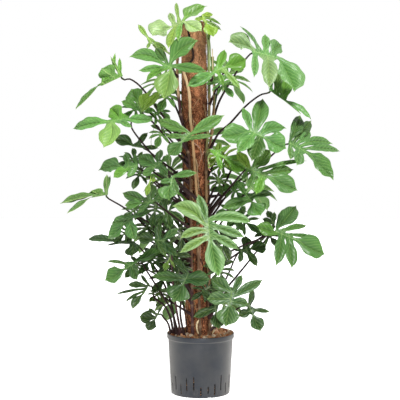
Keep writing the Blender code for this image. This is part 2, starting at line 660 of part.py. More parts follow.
def leaf_strips(layout):
    """Points of the rachis' middle and edge, the ring of edge corners, and the lobes round it.

    A lobe is its start and end corner, tip, width, bend and the way its upper face looks.
    """
    hub, normal, neck, tips = layout
    along = (neck - hub).normalized()
    lift = (normal - along * normal.dot(along)).normalized()
    side = lift.cross(along)
    rachis = (neck - hub).length
    length = rachis + (tips[0][0] - neck).length
    hands = {1: [], -1: []}
    for tip, wide, bend in tips[1:]:
        aside = (tip - hub).dot(side)
        angle = math.atan2((tip - hub).dot(along), abs(aside))
        hands[1 if aside > 0 else -1].append((angle, tip, wide, bend))
    points = [hub + along * rachis * 0.5,
              edge_point(0, (hub, along, side, lift, rachis, length))]
    edges = {}
    strips = []
    for hand in (-1, 1):
        lobes = sorted(hands[hand], key=lambda lobe: lobe[0])
        outward = half_outward(hub, along, side * hand, lobes)
        own_lift = along.cross(outward * hand)
        edge = [1]
        for share in edge_shares(len(lobes)):
            edge.append(len(points))
            points.append(edge_point(share, (hub, along, outward, own_lift, rachis, length)))
        edges[hand] = edge
        row = [(start, end, *lobe[1:], own_lift)
               for start, end, lobe in zip(edge, edge[1:], lobes)]
        if hand == -1:
            strips = row + [(edge[-1], None, *tips[0], lift)]
        else:
            strips[-1] = (strips[-1][0], edge[-1], *tips[0], lift)
            strips += [(end, start, *rest) for start, end, *rest in reversed(row)]
    return points, edges[-1] + list(reversed(edges[1][1:])), strips


def lobe_bounds(points, strips, along):
    """For each lobe the lines, or None, that halve the room between it and its neighbours."""
    axes = [(tip - (points[start] + points[end]) / 2).normalized()
            for start, end, tip, *rest in strips]
    rows = []
    for index, strip in enumerate(strips):
        bounds = []
        for other in (index - 1, (index + 1) % len(strips)):
            corner = strip[0] if other == index - 1 else strip[1]
            between = axes[index] + axes[other]
            shared = corner in strips[other][:2]
            if corner == 1 and between.dot(along) > 0:
                shared = False
            bounds.append((points[corner], between) if shared else None)
        rows.append(bounds)
    return rows


def blade_surface(layout):
    """Middle surface of a blade: the rachis as a fan, and one strip of the surface a lobe."""
    hub, normal, neck, tips = layout
    points, ring, strips = leaf_strips(layout)
    faces = [(0, end, start) for start, end in zip(ring, ring[1:] + ring[:1])]
    rows = lobe_bounds(points, strips, (neck - hub).normalized())
    for index, (strip, bounds) in enumerate(zip(strips, rows)):
        add_lobe(points, faces, strip, bounds, index)
    return points, faces


def half_outward(hub, along, side, lobes):
    """Which way one half of a blade goes from the rachis, from the mean place of its lobes."""
    outward = Vector((0, 0, 0))
    for angle, tip, *rest in lobes:
        outward += tip - hub
    outward -= along * outward.dot(along)
    if outward.length < LEAST_HALF_WIDTH:
        return side
    return outward.normalized()


def add_lobe(points, faces, strip, bounds, index):
    """One strip from the rachis' edge out to the tip, as pairs of points and the tip.

    A pair stays inside the lines that halve the room between this lobe and its neighbours.
    """
    start, end, tip, wide, bend, lift = strip
    root = (points[start] + points[end]) / 2
    axis = tip - root
    reach = axis.length
    axis.normalize()
    base = (points[end] - points[start]) / 2
    over = (lift - axis * lift.dot(axis)).normalized()
    left = over.cross(axis)
    turn = 1 if left.dot(base) > 0 else -1
    last = (start, end)
    rows = WIDE_ROWS if wide >= WIDE_LOBE else NARROW_ROWS
    stagger = ARCH_STAGGER if index % 2 else -ARCH_STAGGER
    for share in rows:
        bow = reach * 4 * share * (1 - share)
        rise = (ARCH + stagger) * bow
        flat = root + axis * reach * share + left * bend * bow
        heading = (axis + left * bend * 4 * (1 - 2 * share)).normalized()
        across = over.cross(heading) * turn
        half = lobe_width(share, base.length, wide / 2)
        pair = (len(points), len(points) + 1)
        for hand, bound in zip((-1, 1), bounds):
            room = half
            if bound is not None:
                room = min(half, room_beside(flat, across * hand, bound, lift))
            points.append(flat + across * hand * room + over * rise)
        faces.append((last[0], last[1], pair[1]))
        faces.append((last[0], pair[1], pair[0]))
        last = pair
    points.append(tip)
    faces.append((last[0], last[1], len(points) - 1))


def room_beside(place, outward, bound, lift):
    """How far a point can go outward before it meets the line that bounds its lobe."""
    corner, direction = bound
    direction = direction - lift * direction.dot(lift)
    if direction.length < 0.2:
        return 1.0
    wall = direction.normalized().cross(lift)
    facing = wall.dot(outward)
    if abs(facing) < 0.1:
        return 1.0
    return max(LEAST_HALF_WIDTH, (corner - place).dot(wall) / facing * 0.94)


def thicken(points, faces, thickness):
    """A closed solid from a surface: both faces split alike, and a wall along the edge."""
    normals = [Vector((0, 0, 0)) for _ in points]
    borders = {}
    for face in faces:
        a, b, c = (points[corner] for corner in face)
        turn = (b - a).cross(c - a)
        for corner in face:
            normals[corner] += turn
        for start, end in zip(face, face[1:] + face[:1]):
            if (end, start) in borders:
                del borders[(end, start)]
            else:
                borders[(start, end)] = True
    count = len(points)
    half = thickness / 2
    upper = [p + n.normalized() * half for p, n in zip(points, normals)]
    lower = [p - n.normalized() * half for p, n in zip(points, normals)]
    solid = list(faces)
    solid += [tuple(corner + count for corner in reversed(face)) for face in faces]
    for start, end in borders:
        solid.append((start, start + count, end + count))
        solid.append((start, end + count, end))
    return upper + lower, solid


def leaf_colour(height):
    share = min(1.0, max(0.0, (height - 0.25) / 0.95))
    return tuple(low + (high - low) * share for low, high in zip(LEAF_LOW, LEAF_HIGH))


def build_leaf(name, layout):
    points, faces = blade_surface(layout)
    paint = material(name + "_green", leaf_colour(layout[0].z), 0.45)
    return mesh_object("leaf_" + name, *thicken(points, faces, BLADE), paint)


def stem_point(stem, at):
    """The middle of a stem at a height in mm, or of the crown of the low shoots at an x in mm."""
    if stem == "low_shoots":
        rows = [((x - CROWN_PATH[0][0]), Vector((x, y, z)) * MM) for x, y, z in CROWN_PATH]
        at = at - CROWN_PATH[0][0]
    else:
        rows = [(height, pole_side(height, angle, out)) for height, angle, out in STEM_ROWS[stem]]
    for (low, start), (high, end) in zip(rows, rows[1:]):
        if at <= high:
            return start.lerp(end, (at - low) / (high - low))
    return rows[-1][1]


def pole_side(height, angle, out):
    turn = math.radians(angle)
    return Vector((pole_x(height * MM) + out * MM * math.cos(turn),
                   out * MM * math.sin(turn), height * MM))


STEM_ROWS = dict(STEMS)


def petiole_route(stem, at, places, layout):
    """From the stem's middle through the places to the underside of the blade at its hub."""
    hub, normal, neck, tips = layout
    along = (neck - hub).normalized()
    lift = (normal - along * normal.dot(along)).normalized()
    seat = hub + along * PETIOLE_SEAT - lift * (BLADE / 2 + GAP)
    stop = [at_depth(*place) for place in places]
    arrive = [seat - lift * 0.013 - along * 0.006, seat - lift * 0.005]
    return smooth_route([stem_point(stem, at)] + stop + arrive[:1], PETIOLE_STEP) + [
        arrive[1], seat]


def petiole(name, stem, at, places, layout):
    route = petiole_route(stem, at, places, layout)
    last = len(route) - 1
    radii = [PETIOLE_FOOT_RADIUS + (PETIOLE_TIP_RADIUS - PETIOLE_FOOT_RADIUS) * index / last
             for index in range(last + 1)]
    return tube(name + "_petiole", route, radii, PETIOLE_SIDES)


def aerial_root(stem, at, places):
    route = smooth_route([stem_point(stem, at)] + [at_depth(*place) for place in places],
                         PETIOLE_STEP)
    last = len(route) - 1
    radii = [ROOT_FOOT_RADIUS + (ROOT_TIP_RADIUS - ROOT_FOOT_RADIUS) * index / last
             for index in range(last + 1)]
    return tube(stem + "_root", route, radii, PETIOLE_SIDES)


def stem_route(stem):
    if stem == "low_shoots":
        return [Vector(place) * MM for place in CROWN_PATH]
    return smooth_route([pole_side(*row) for row in STEM_ROWS[stem]], 0.09)


def build_vine(stem, stalks):
    radius = CROWN_RADIUS if stem == "low_shoots" else STEM_RADIUS
    route = stem_route(stem)
    paint = material(stem + "_bark", STEM_BROWN, 0.6)
    vine = tube(stem, route, [radius] * len(route), STEM_SIDES, paint)
    return boolean(vine, stalks, "UNION", "MANIFOLD")


def stem_hole(stem):
    radius = CROWN_RADIUS if stem == "low_shoots" else STEM_RADIUS
    route = stem_route(stem)
    route[0] += (route[0] - route[1]).normalized() * HOLE_FIT
    route[-1] += (route[-1] - route[-2]).normalized() * HOLE_FIT
    return tube(stem + "_hole", route, [radius + HOLE_FIT] * len(route), STEM_SIDES)


def back_leaves():
    """Names, stems, heights to leave the stem at and layouts of the leaves at the back."""
    rows = []
    for index, (place, slope, length) in enumerate(BACK_LEAVES):
        along = compass(*slope)
        upward = Vector((0, 0, 1)) + compass(slope[0], 0)
        normal = (upward - along * upward.dot(along)).normalized()
        layout = standard_layout(at_depth(*place), normal, along, length * MM)
        stem = "vine_back_right" if place[0] > 0 else "vine_back_left"
        rows.append(("back_%d" % (index + 1), stem, place[1] - BACK_PETIOLE_DROP, layout))
    return rows


def main():
    clear_scene()
    layouts = {row[0]: leaf_layout(row) for row in LEAVES}
    stalks = {name: [] for name in list(STEM_ROWS) + ["low_shoots"]}
    for name, stem, at, places in PETIOLES:
        stalks[stem].append(petiole(name, stem, at, places, layouts[name]))
    for stem, at, places in ROOTS:
        stalks[stem].append(aerial_root(stem, at, places))
    for name, stem, height, layout in back_leaves():
        layouts[name] = layout
        stalks[stem].append(petiole(name, stem, height, (), layout))
    for name, layout in layouts.items():
        build_leaf(name, layout)
    build_pot()
    build_pole()
    build_clay([stem_hole(stem) for stem in stalks])
    for stem, tubes in stalks.items():
        build_vine(stem, tubes)


main()
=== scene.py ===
"""Looks of a potted philodendron on a coir pole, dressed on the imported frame.

Metres, +Z up. Leaves and stalks keep the places of the solids: (x, z) in millimetres on the front
elevation through the pot's axis as seen from EYE, and a depth behind that plane.
"""

import math
import random

import bmesh
import bpy
from mathutils import Matrix, Vector, noise


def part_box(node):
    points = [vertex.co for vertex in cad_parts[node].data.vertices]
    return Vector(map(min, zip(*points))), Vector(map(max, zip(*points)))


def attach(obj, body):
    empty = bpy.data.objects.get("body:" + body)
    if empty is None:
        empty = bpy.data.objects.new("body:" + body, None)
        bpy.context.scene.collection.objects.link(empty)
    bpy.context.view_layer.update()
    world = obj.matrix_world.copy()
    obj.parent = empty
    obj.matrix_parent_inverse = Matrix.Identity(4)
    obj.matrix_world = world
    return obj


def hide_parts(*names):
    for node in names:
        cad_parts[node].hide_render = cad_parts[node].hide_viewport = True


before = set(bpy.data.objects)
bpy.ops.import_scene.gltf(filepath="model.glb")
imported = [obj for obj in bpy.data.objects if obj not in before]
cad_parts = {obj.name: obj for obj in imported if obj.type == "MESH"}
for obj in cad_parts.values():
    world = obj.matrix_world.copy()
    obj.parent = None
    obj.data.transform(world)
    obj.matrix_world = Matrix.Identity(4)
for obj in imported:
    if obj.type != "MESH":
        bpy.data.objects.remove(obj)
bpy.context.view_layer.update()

MM = 0.001
SEED = 11

# Camera of the photograph
EYE = Vector((0.0, -4.2, 0.9645))
AIM = Vector((0.0, 0.0, 0.632))
SENSOR = 36.0
FOCAL_PIXELS = 1298
FRAME_PIXELS = 400
AXIS_PIXEL = 200.5

# Pot: outline radii and heights
POT_HEIGHT = 0.198
POT_RIM_RADIUS = 0.110
POT_TOP_RADIUS = 0.106
POT_BASE_RADIUS = 0.0955
POT_BAND_HEIGHT = 0.018
POT_WALL = 0.002
POT_FLOOR = 0.005

# Outline of the pot's underside in mm: radius and height, from the middle outward
FOOT_OUTLINE = ((0, 3.5), (30, 3.5), (60, 3.2), (78, 2.8), (88, 1.2), (92.5, 0.2), (93.3, 0),
                (94.6, 0.3), (95.47, 1.4))
# Outline of the rim in mm, up the outside and down the inside: out from the rim's radius, and
# up from the foot of the band
RIM_OUTLINE = ((-4.2, -1.2), (-3.6, 0.2), (-1.6, 1.6), (-0.5, 2.6), (0, 4.2), (-0.4, 9.5),
               (0, 15.0), (-0.3, 16.8), (-0.9, 17.8), (-1.3, 18.0), (-1.8, 17.6), (-2.0, 16.6),
               (-2.0, 4.5), (-3.0, 3.0), (-5.6, 1.2), (-6.0, -0.8))
POT_FINE_SIDES = 240
POT_SHARP = math.radians(38)

# Slots in the pot's wall: bottom and top height in mm, once round for each half of the pot
SLOT_WIDTH = 0.0039
SLOT_REACH = 0.009
SLOT_RAGGED = 0.0012
SLOT_HEIGHTS = ((24, 70), (7, 36), (14, 38), (8, 45), (21, 72), (8, 43), (22, 66),
                (26, 41), (39, 68), (10, 40), (20, 66), (8, 42), (22, 64))
SLOT_FIRST_ANGLE = math.radians(-103)
NOTCH_COUNT = 4
NOTCH_WIDTH = 0.019
NOTCH_FOOT = -0.03
NOTCH_HEIGHT = 0.0035
NOTCH_REACH = 0.006
NOTCH_FIRST_ANGLE = math.radians(-73)

# Clay granules that fill the pot
CLAY_TOP = 0.187

# Climbing pole: coir round a wooden stake, leaning a little to the left
POLE_RADIUS = 0.040
POLE_TOP = 1.211
POLE_FOOT = 0.012
POLE_BASE_X = -0.004
POLE_TOP_X = -0.023

# Blades
BLADE = 0.0009
SAG = 0.05
ARCH = 0.07
ARCH_STAGGER = 0.02
FOLD = math.radians(10)
LOBE_NECK = 0.45
RACHIS_SHARE = 0.38
LEAST_HALF_WIDTH = 0.0012
# Folds hide some of a lobe, so it is cut wider than it shows by this factor
FULLNESS = 1.12
# Leaves turn outward by this many degrees for each metre that the hub lies to the side
FACE_TURN = 110
# A lobe seen at a slant is made wider, but only down to this share of its width in view
LEAST_VIEW = 0.55
# Edge of the rachis between lobes, from the back of the hub to the terminal lobe:
# along (share of the rachis) and aside (share of the leaf's length)
RACHIS_EDGE = ((-0.03, 0.0), (-0.10, 0.050), (0.22, 0.062), (0.58, 0.055), (1.0, 0.034))
# Where two lobes meet, each keeps this share of the room up to the line between them. The line
# counts only if it has a direction and crosses the way outward by at least so much
ROOM_SHARE = 0.94
LEAST_LINE = 0.2
LEAST_CROSSING = 0.1
# Share of the rachis' edge, counted from the back, that the hindmost lobe takes
HIND_LOBE_SHARE = 0.45

# Stems and petioles
STEM_RADIUS = 0.0048
PETIOLE_FOOT_RADIUS = 0.0026
PETIOLE_TIP_RADIUS = 0.0017
PETIOLE_SEAT = 0.004
STALK_GAP = 0.0003

# Stems on the pole: name, then (height in mm, angle round the pole in degrees, distance of the
# stem's middle from the pole's axis in mm). Angle 0 is the right, -90 the front.
STEMS = (
    ("vine_left", ((130, -112, 49), (450, -112, 47), (741, -114, 46), (803, -127, 46),
                   (884, -148, 46), (930, -165, 50), (1036, -175, 55), (1105, -178, 52))),
    ("vine_front", ((130, -82, 49), (450, -85, 47), (600, -85, 46), (800, -98, 46),
                    (900, -108, 46), (984, -113, 46), (1072, -150, 47))),
    ("vine_right", ((130, -40, 49), (600, -42, 46), (760, -42, 46), (850, -30, 47),
                    (950, -10, 48), (1165, 0, 47))),
    ("vine_back_right", ((130, 35, 49), (700, 30, 47), (850, 15, 55), (960, 5, 64),
                         (1095, 8, 60))),
    ("vine_back_left", ((130, 140, 49), (500, 135, 47), (800, 150, 47), (1060, 140, 47))),
)

# Leaves: name, hub (x, z, depth), the way the upper face looks (compass angle, rise), and the
# lobes as tip (x, z, width), clockwise or not, with the terminal lobe first. A fourth value is
# the tip's depth, for a lobe that doesn't lie in the blade's plane.
LEAVES = (
    ("crown", (-52, 1208, -56), (-100, 50),
     ((-154, 1160, 56), (-104, 1120, 25), (-72, 1142, 16), (5, 1176, 34), (22, 1256, 34),
      (-78, 1268, 12), (-100, 1235, 15))),
    ("top_right", (4, 1228, -36), (-60, 55),
     ((42, 1158, 32, -72), (68, 1178, 9, -50), (66, 1196, 9, -26), (40, 1229, 8, 10),
      (-20, 1214, 9, -56))),
    ("young_left", (-150, 1130, 40), (-90, 20),
     ((-201, 1198, 15), (-105, 1113, 16), (-172, 1120, 12))),
    ("upper_left", (-92, 1060, -145), (-100, 28),
     ((-230, 1093, 32), (-200, 1049, 20), (-176, 1014, 18), (-120, 959, 57), (20, 1048, 27),
      (-7, 1146, 44), (-146, 1124, 27))),
    ("upper_right", (38, 1045, -120), (-80, 35),
     ((148, 1086, 50, -70), (78, 1118, 26), (-45, 998, 30), (75, 1000, 12), (130, 988, 18))),
    ("high_right", (167, 1112, -55), (-80, 42),
     ((303, 982, 58), (220, 992, 34), (172, 1026, 22), (90, 1140, 42), (126, 1192, 18),
      (207, 1167, 25), (262, 1132, 37))),
    ("edge_right", (222, 987, -10), (-60, 75),
     ((358, 892, 19, -30), (325, 909, 11, -60), (249, 1054, 28, 60), (273, 1020, 29, 55),
      (223, 1040, 14, 40))),
    ("middle_right", (158, 858, -160), (-85, 38),
     ((278, 798, 50), (278, 863, 34), (200, 960, 46), (136, 933, 24), (64, 836, 52),
      (117, 785, 40), (166, 758, 44))),
    ("far_right", (286, 819, -80), (-80, 33),
     ((431, 696, 46), (452, 789, 21), (430, 812, 22), (356, 852, 24), (358, 890, 34),
      (321, 907, 34), (290, 762, 20), (312, 744, 28))),
    ("inner_right", (150, 735, -130), (-90, 30),
     ((315, 663, 60), (302, 731, 30), (344, 759, 14), (227, 795, 40), (116, 790, 28),
      (133, 695, 12), (153, 664, 18), (180, 650, 26))),
    ("under_right", (148, 653, -85), (-90, 30),
     ((196, 581, 58), (236, 650, 20), (120, 690, 14), (68, 603, 34))),
    ("shade_right", (100, 674, 15), (-90, 35),
     ((27, 662, 22), (45, 711, 9), (82, 635, 16), (150, 682, 20))),
    ("young_right", (30, 796, -62), (-70, 30),
     ((150, 729, 46), (90, 808, 10), (68, 727, 16))),
    ("front_high", (-33, 850, -160), (-90, 30),
     ((-105, 775, 40), (-112, 838, 14), (-145, 893, 26), (78, 907, 30), (42, 841, 12))),
    ("hand_left", (-252, 1032, -30), (180, 64),
     ((-403, 925, 32, -30), (-318, 1012, 26, -62), (-319, 1058, 32, -75), (-290, 1096, 9, -68),
      (-274, 1108, 9, 20), (-260, 1092, 9, 0), (-300, 1062, 26, 22))),
    ("long_left", (-232, 899, -70), (-100, 45),
     ((-413, 862, 27), (-293, 928, 44), (-314, 801, 40), (-220, 866, 15), (-150, 890, 22))),
    ("round_left", (-190, 916, -55), (-90, 20),
     ((-222, 992, 54), (-256, 952, 24), (-168, 978, 26), (-126, 984, 28))),
    ("dark_left", (-180, 799, 40), (-90, 20),
     ((-281, 826, 36), (-170, 851, 19), (-135, 800, 16))),
    ("teal_left", (-125, 755, -80), (-100, 30),
     ((-188, 710, 32), (-203, 776, 38), (-130, 797, 30), (-98, 775, 20), (-104, 712, 22))),
    ("arched_left", (-203, 744, -50), (-100, 50),
     ((-331, 727, 28), (-282, 704, 18), (-233, 704, 22), (-213, 782, 12), (-244, 784, 20))),
    ("front_left", (-90, 711, -180), (-90, 35),
     ((-101, 631, 50), (-73, 648, 18), (-10, 720, 20), (-132, 690, 16))),
    ("bud_left", (-160, 712, -120), (-90, 10),
     ((-175, 645, 17), (-143, 697, 12))),
    ("broad_left", (-150, 628, -110), (-95, 32),
     ((-246, 613, 28), (-254, 655, 30), (-155, 684, 36), (-120, 645, 18), (-204, 588, 15))),
    ("low_left", (-215, 583, -60), (-100, 35),
     ((-300, 506, 48), (-290, 556, 28), (-163, 598, 26), (-214, 500, 32))),
    ("reaching_left", (-302, 649, -20), (180, 75),
     ((-433, 588, 26, -20), (-457, 619, 24, -62), (-352, 664, 24, -55), (-303, 716, 16, -60),
      (-292, 712, 12, 30), (-368, 652, 14, 30))),
    ("thin_left", (-209, 490, -20), (-100, 50),
     ((-370, 503, 20), (-305, 482, 9, -50), (-222, 447, 40), (-226, 522, 26))),
    ("oval_left", (-205, 430, -60), (-95, 40),
     ((-313, 368, 46), (-307, 431, 9), (-120, 474, 46), (-205, 370, 30))),
    ("shade_left", (-118, 498, -125), (-95, 30),
     ((-204, 510, 33), (-135, 560, 24), (-70, 540, 20), (-76, 448, 24), (-110, 446, 18))),
    ("deep_left", (-98, 598, -22), (-90, 25),
     ((-145, 560, 26), (-125, 640, 20), (-62, 640, 20), (-52, 560, 24), (-98, 535, 28))),
    ("front_low", (-37, 394, -175), (-90, 32),
     ((-88, 299, 70), (-160, 383, 28), (-92, 450, 20), (33, 372, 42))),
    ("hanging_left", (-97, 452, -150), (-90, 0),
     ((-118, 400, 18), (-82, 410, 8))),
    ("star_left", (-166, 356, -50), (-100, 40),
     ((-222, 273, 22), (-246, 298, 13), (-280, 322, 9), (-237, 355, 17), (-195, 388, 10))),
    ("pair_left", (-135, 262, -75), (-95, 35),
     ((-173, 202, 37), (-200, 249, 36), (-171, 277, 10), (-125, 285, 10))),
    ("small_left", (-115, 300, -20), (-90, 30),
     ((-164, 306, 13), (-148, 283, 13), (-128, 323, 10))),
    ("front_right", (103, 335, -165), (-90, 32),
     ((83, 216, 62), (19, 308, 34), (34, 377, 35), (135, 388, 21), (204, 371, 28),
      (158, 291, 26))),
    ("lowest_right", (155, 290, -70), (-85, 30),
     ((197, 201, 40), (227, 265, 14), (172, 342, 21), (118, 300, 16), (123, 250, 26))),
    ("shade_low", (45, 298, -110), (-90, 25),
     ((60, 208, 42), (-25, 247, 26), (5, 338, 25), (62, 345, 16))),
    ("dark_right", (130, 465, -20), (-90, 25),
     ((215, 485, 46), (185, 414, 20), (127, 427, 18), (106, 474, 12), (148, 515, 34))),
    ("wide_right", (243, 530, -90), (-85, 38),
     ((406, 452, 60), (381, 506, 18), (346, 548, 20), (311, 614, 50), (181, 548, 36),
      (246, 415, 32), (298, 408, 34))),
    ("behind_right", (240, 548, 0), (-90, 20),
     ((216, 598, 22), (200, 570, 18), (240, 594, 13))),
    ("pale_front", (25, 572, -235), (-88, 28),
     ((60, 380, 54), (125, 470, 24), (145, 510, 23), (169, 556, 35), (-8, 652, 27),
      (-93, 612, 42), (-67, 505, 24), (-69, 458, 25))),
)

# Where the rachis ends, (x, z), on leaves whose terminal lobe turns away from it
NECKS = {
    "high_right": (245, 1092),
    "far_right": (340, 788),
    "inner_right": (218, 708),
    "wide_right": (302, 505),
    "pale_front": (32, 500),
    "upper_left": (-118, 1070),
    "hand_left": (-318, 1001),
    "reaching_left": (-350, 640),
}

# Lobes that bend sideways, in the order of the table: how far the middle lies off the straight
# line, as a share of the lobe's length, to the left (or right if negative) on the way out
BENDS = {
    "crown": (-0.15, 0, 0, 0, 0.15),
    "upper_left": (-0.12, 0, -0.10, 0, 0, 0.15),
    "high_right": (0.12, 0, 0, -0.25, 0, 0, 0.12),
    "middle_right": (0, 0.15),
    "far_right": (0.08, 0, 0.08),
    "under_right": (0, 0.06),
    "long_left": (0, -0.08, 0.10),
    "dark_left": (-0.11,),
    "arched_left": (-0.18,),
    "front_left": (-0.14,),
    "star_left": (-0.10,),
    "pale_front": (0, 0, 0, 0.09, 0, -0.14, -0.10),
}

# Leaves folded up along the rachis and seen edge on: every lobe of theirs has its own depth
EDGE_ON = ("hand_left", "reaching_left")

# Petioles: leaf, stem, height in mm where it leaves the stem, and places on its way (x, z, depth)
PETIOLES = (
    ("crown", "vine_front", 1050, ((-47, 1066, -42), (-23, 1092, -46), (-34, 1152, -48))),
    ("top_right", "vine_right", 1150, ((33, 1209, -8), (20, 1224, -12))),
    ("young_left", "vine_left", 1085, ((-112, 1112, 62),)),
    ("upper_left", "vine_left", 1030, ((-82, 1040, -40),)),
    ("upper_right", "vine_right", 1005, ((38, 1025, -30),)),
    ("high_right", "vine_back_right", 880, ((60, 950, 20), (100, 1020, 25), (138, 1077, 12))),
    ("edge_right", "vine_back_right", 800, ((60, 850, 10), (95, 880, 10), (145, 935, 10),
                                            (190, 970, 5))),
    ("middle_right", "vine_right", 600, ((60, 655, -40), (86, 700, -32), (104, 740, -18),
                                         (138, 812, -35))),
    ("far_right", "vine_right", 585, ((60, 636, -20), (110, 682, -5), (200, 750, 0),
                                      (240, 785, -5))),
    ("inner_right", "vine_right", 572, ((60, 628, -60), (110, 690, -65))),
    ("under_right", "vine_right", 540, ((70, 580, -30), (110, 620, -35))),
    ("shade_right", "vine_back_right", 640, ((70, 650, 20),)),
    ("young_right", "vine_right", 780, ((24, 786, -40),)),
    ("front_high", "vine_front", 830, ((-32, 838, -70),)),
    ("hand_left", "vine_left", 800, ((-92, 862, -20), (-118, 900, -10), (-168, 968, -10),
                                     (-200, 1005, -15), (-228, 1023, -20))),
    ("long_left", "vine_left", 690, ((-110, 730, -15), (-190, 820, -30), (-222, 865, -45))),
    ("round_left", "vine_left", 740, ((-80, 790, -10), (-118, 842, 0), (-150, 880, 0))),
    ("dark_left", "vine_back_left", 700, ((-110, 745, 30),)),
    ("teal_left", "vine_left", 650, ((-95, 700, -45),)),
    ("arched_left", "vine_left", 600, ((-110, 650, -10), (-170, 710, -15))),
    ("front_left", "vine_front", 640, ((-60, 680, -85),)),
    ("bud_left", "vine_left", 620, ((-110, 690, -60),)),
    ("broad_left", "vine_left", 540, ((-96, 585, -62),)),
    ("low_left", "vine_left", 480, ((-110, 520, -25), (-170, 560, -25))),
    ("reaching_left", "vine_left", 430, ((-125, 503, 0), (-160, 530, 5), (-212, 577, 10),
                                         (-250, 608, 5))),
    ("thin_left", "low_shoots", -80, ((-95, 290, -15), (-130, 380, -10), (-180, 455, -5))),
    ("oval_left", "low_shoots", -75, ((-90, 260, -30), (-115, 305, -35), (-172, 395, -45),
                                      (-190, 425, -50))),
    ("shade_left", "vine_left", 440, ((-80, 462, -45),)),
    ("deep_left", "vine_left", 515, ((-75, 558, -10),)),
    ("front_low", "low_shoots", -52, ((-66, 260, -62), (-58, 330, -88))),
    ("hanging_left", "low_shoots", -62, ((-78, 270, -50), (-92, 380, -80))),
    ("star_left", "low_shoots", -88, ((-97, 240, -45), (-117, 285, -45), (-150, 312, -48))),
    ("pair_left", "low_shoots", -95, ((-105, 225, -50), (-120, 245, -52))),
    ("small_left", "low_shoots", -70, ((-85, 240, -20), (-100, 280, -20))),
    ("front_right", "vine_right", 250, ((50, 280, -60), (80, 315, -75))),
    ("lowest_right", "vine_right", 210, ((70, 235, -20), (120, 275, -10))),
    ("shade_low", "vine_right", 270, ((36, 285, -55),)),
    ("dark_right", "vine_right", 300, ((60, 330, -15), (87, 382, 0), (112, 440, 0))),
    ("wide_right", "vine_right", 410, ((73, 450, -25), (140, 484, -30), (205, 510, -40))),
    ("behind_right", "vine_back_right", 290, ((60, 318, 40), (103, 365, 40), (180, 460, 40),
                                              (225, 520, 30))),
    ("pale_front", "vine_front", 560, ((15, 575, -100), (22, 582, -160))),
)

# Aerial roots on the face of the pole: stem, height in mm where it leaves the stem, tone, radius
# in mm, how stained it is, and places on its way (x, z, depth)
ROOTS = (
    ("vine_front", 822, "rose", 2.1, 0.3, ((-4, 802, -42), (2, 784, -40), (4, 764, -39))),
    ("vine_front", 775, "sand", 2.2, 0.3, ((-12, 752, -43), (-9, 710, -43), (-5, 662, -42))),
    ("vine_front", 620, "tan", 2.4, 0.3, ((8, 606, -41), (15, 592, -38))),
    ("vine_front", 248, "cream", 4.2, 0.06, ((-12, 225, -44), (-11, 205, -44), (-6, 193, -44))),
    ("vine_right", 226, "cream", 3.6, 0.06, ((44, 207, -24), (40, 193, -20))),
)
ROOT_STEP = 0.003

# Crown of the low shoots: a short rhizome half sunk in the granules, (x, y, z) in mm
CROWN_PATH = ((-98, -26, 189), (-74, -32, 190), (-46, -46, 189))
CROWN_RADIUS = 0.0062

# Leaves at the back: hub (x, z, depth), compass angle and slope of the midrib, length in mm.
# Each lies behind foliage or the pole as seen from EYE.
BACK_LEAVES = (
    ((-70, 335, 150), (120, -50), 150), ((60, 330, 130), (60, -55), 150),
    ((15, 500, 170), (85, -50), 175), ((-130, 560, 160), (135, -45), 160),
    ((-95, 740, 170), (115, -50), 170), ((145, 700, 150), (50, -40), 170),
    ((10, 850, 160), (90, -50), 175), ((-110, 1040, 120), (140, -40), 160),
    ((80, 1050, 110), (50, -45), 150),
)
BACK_PETIOLE_DROP = 110
# Lobes of a standard leaf: tip along and aside, and width, in shares of the leaf's length
STANDARD_TERMINAL = 0.30
STANDARD_BEND = 0.07
STANDARD_LOBES = ((0.64, 0.44, 0.13), (0.34, 0.54, 0.13), (-0.06, 0.58, 0.22),
                  (-0.36, 0.22, 0.13))

# Columns of a fine lobe, from one margin (-1) through the midrib (0) to the other
HALF_COLUMNS = (0.0, 0.09, 0.27, 0.52, 0.78, 1.0)
COLUMNS = tuple(-share for share in reversed(HALF_COLUMNS[1:])) + HALF_COLUMNS
# Rows along it, a little closer together towards the tip
LOBE_ROWS = 21
ROW_DRIFT = 0.2
# Its outline: it has narrowed to its neck after this share of the way to its widest place, and
# swells and tapers by these powers before and after that place
NECK_END = 0.4
LOBE_PEAK = 0.50
LOBE_SWELL = 1.6
LOBE_TAPER = 0.94
# Tips are drawn out beyond the solid's profile, and lobes overlap where they part
TIP_POINT = 0.72
TIP_FROM = 0.80
OVERLAP_FROM = 0.12
OVERLAP_TO = 0.40
# Its relief: a fold and a channel along the midrib, crowned halves, margins that drop and wave,
# all of it fading in from the base over a share of the lobe's length, as do rows that turn from
# the base line to square across the lobe
FINE_FOLD = math.tan(FOLD) * 1.05
FOLD_IN = 0.20
SETTLE_IN = 0.22
RELIEF_IN = 0.25
CHANNEL = 0.28
CHANNEL_LEVEL = 0.6
CROWNING = 0.20
MARGIN_DROP = 0.12
MARGIN_THICKNESS = 0.0006
WAVE = 0.030
EDGE_WAVE = 0.012
EDGE_BEAT = 1.3
MOST_ROLL = math.radians(20)
# How many waves run along a margin: drawn from a range, and more on a lobe that is long beside
# this length
WAVE_BEATS = (1.2, 2.2)
WAVE_LENGTH = 0.16
# Distance from the rachis at the foot of the terminal lobe, for the shading of its veins
TERMINAL_RUN = 0.05

# Midribs' half width, and how far out they fade for lobes and for the rachis
RIB_HALF_WIDTH = 0.0006
UPPER_RIB_REACHES = (0.0023, 0.0025)
LOWER_RIB_REACHES = (0.0020, 0.0024)
# Side veins: how far apart they are, and how far out they run for each step along
VEIN_SPACING = 0.0170
VEIN_SPREAD = 0.0085

# Fine stems
STALK_SIDES = 8
STEM_FINE_SIDES = 12
STALK_STEP = 0.009
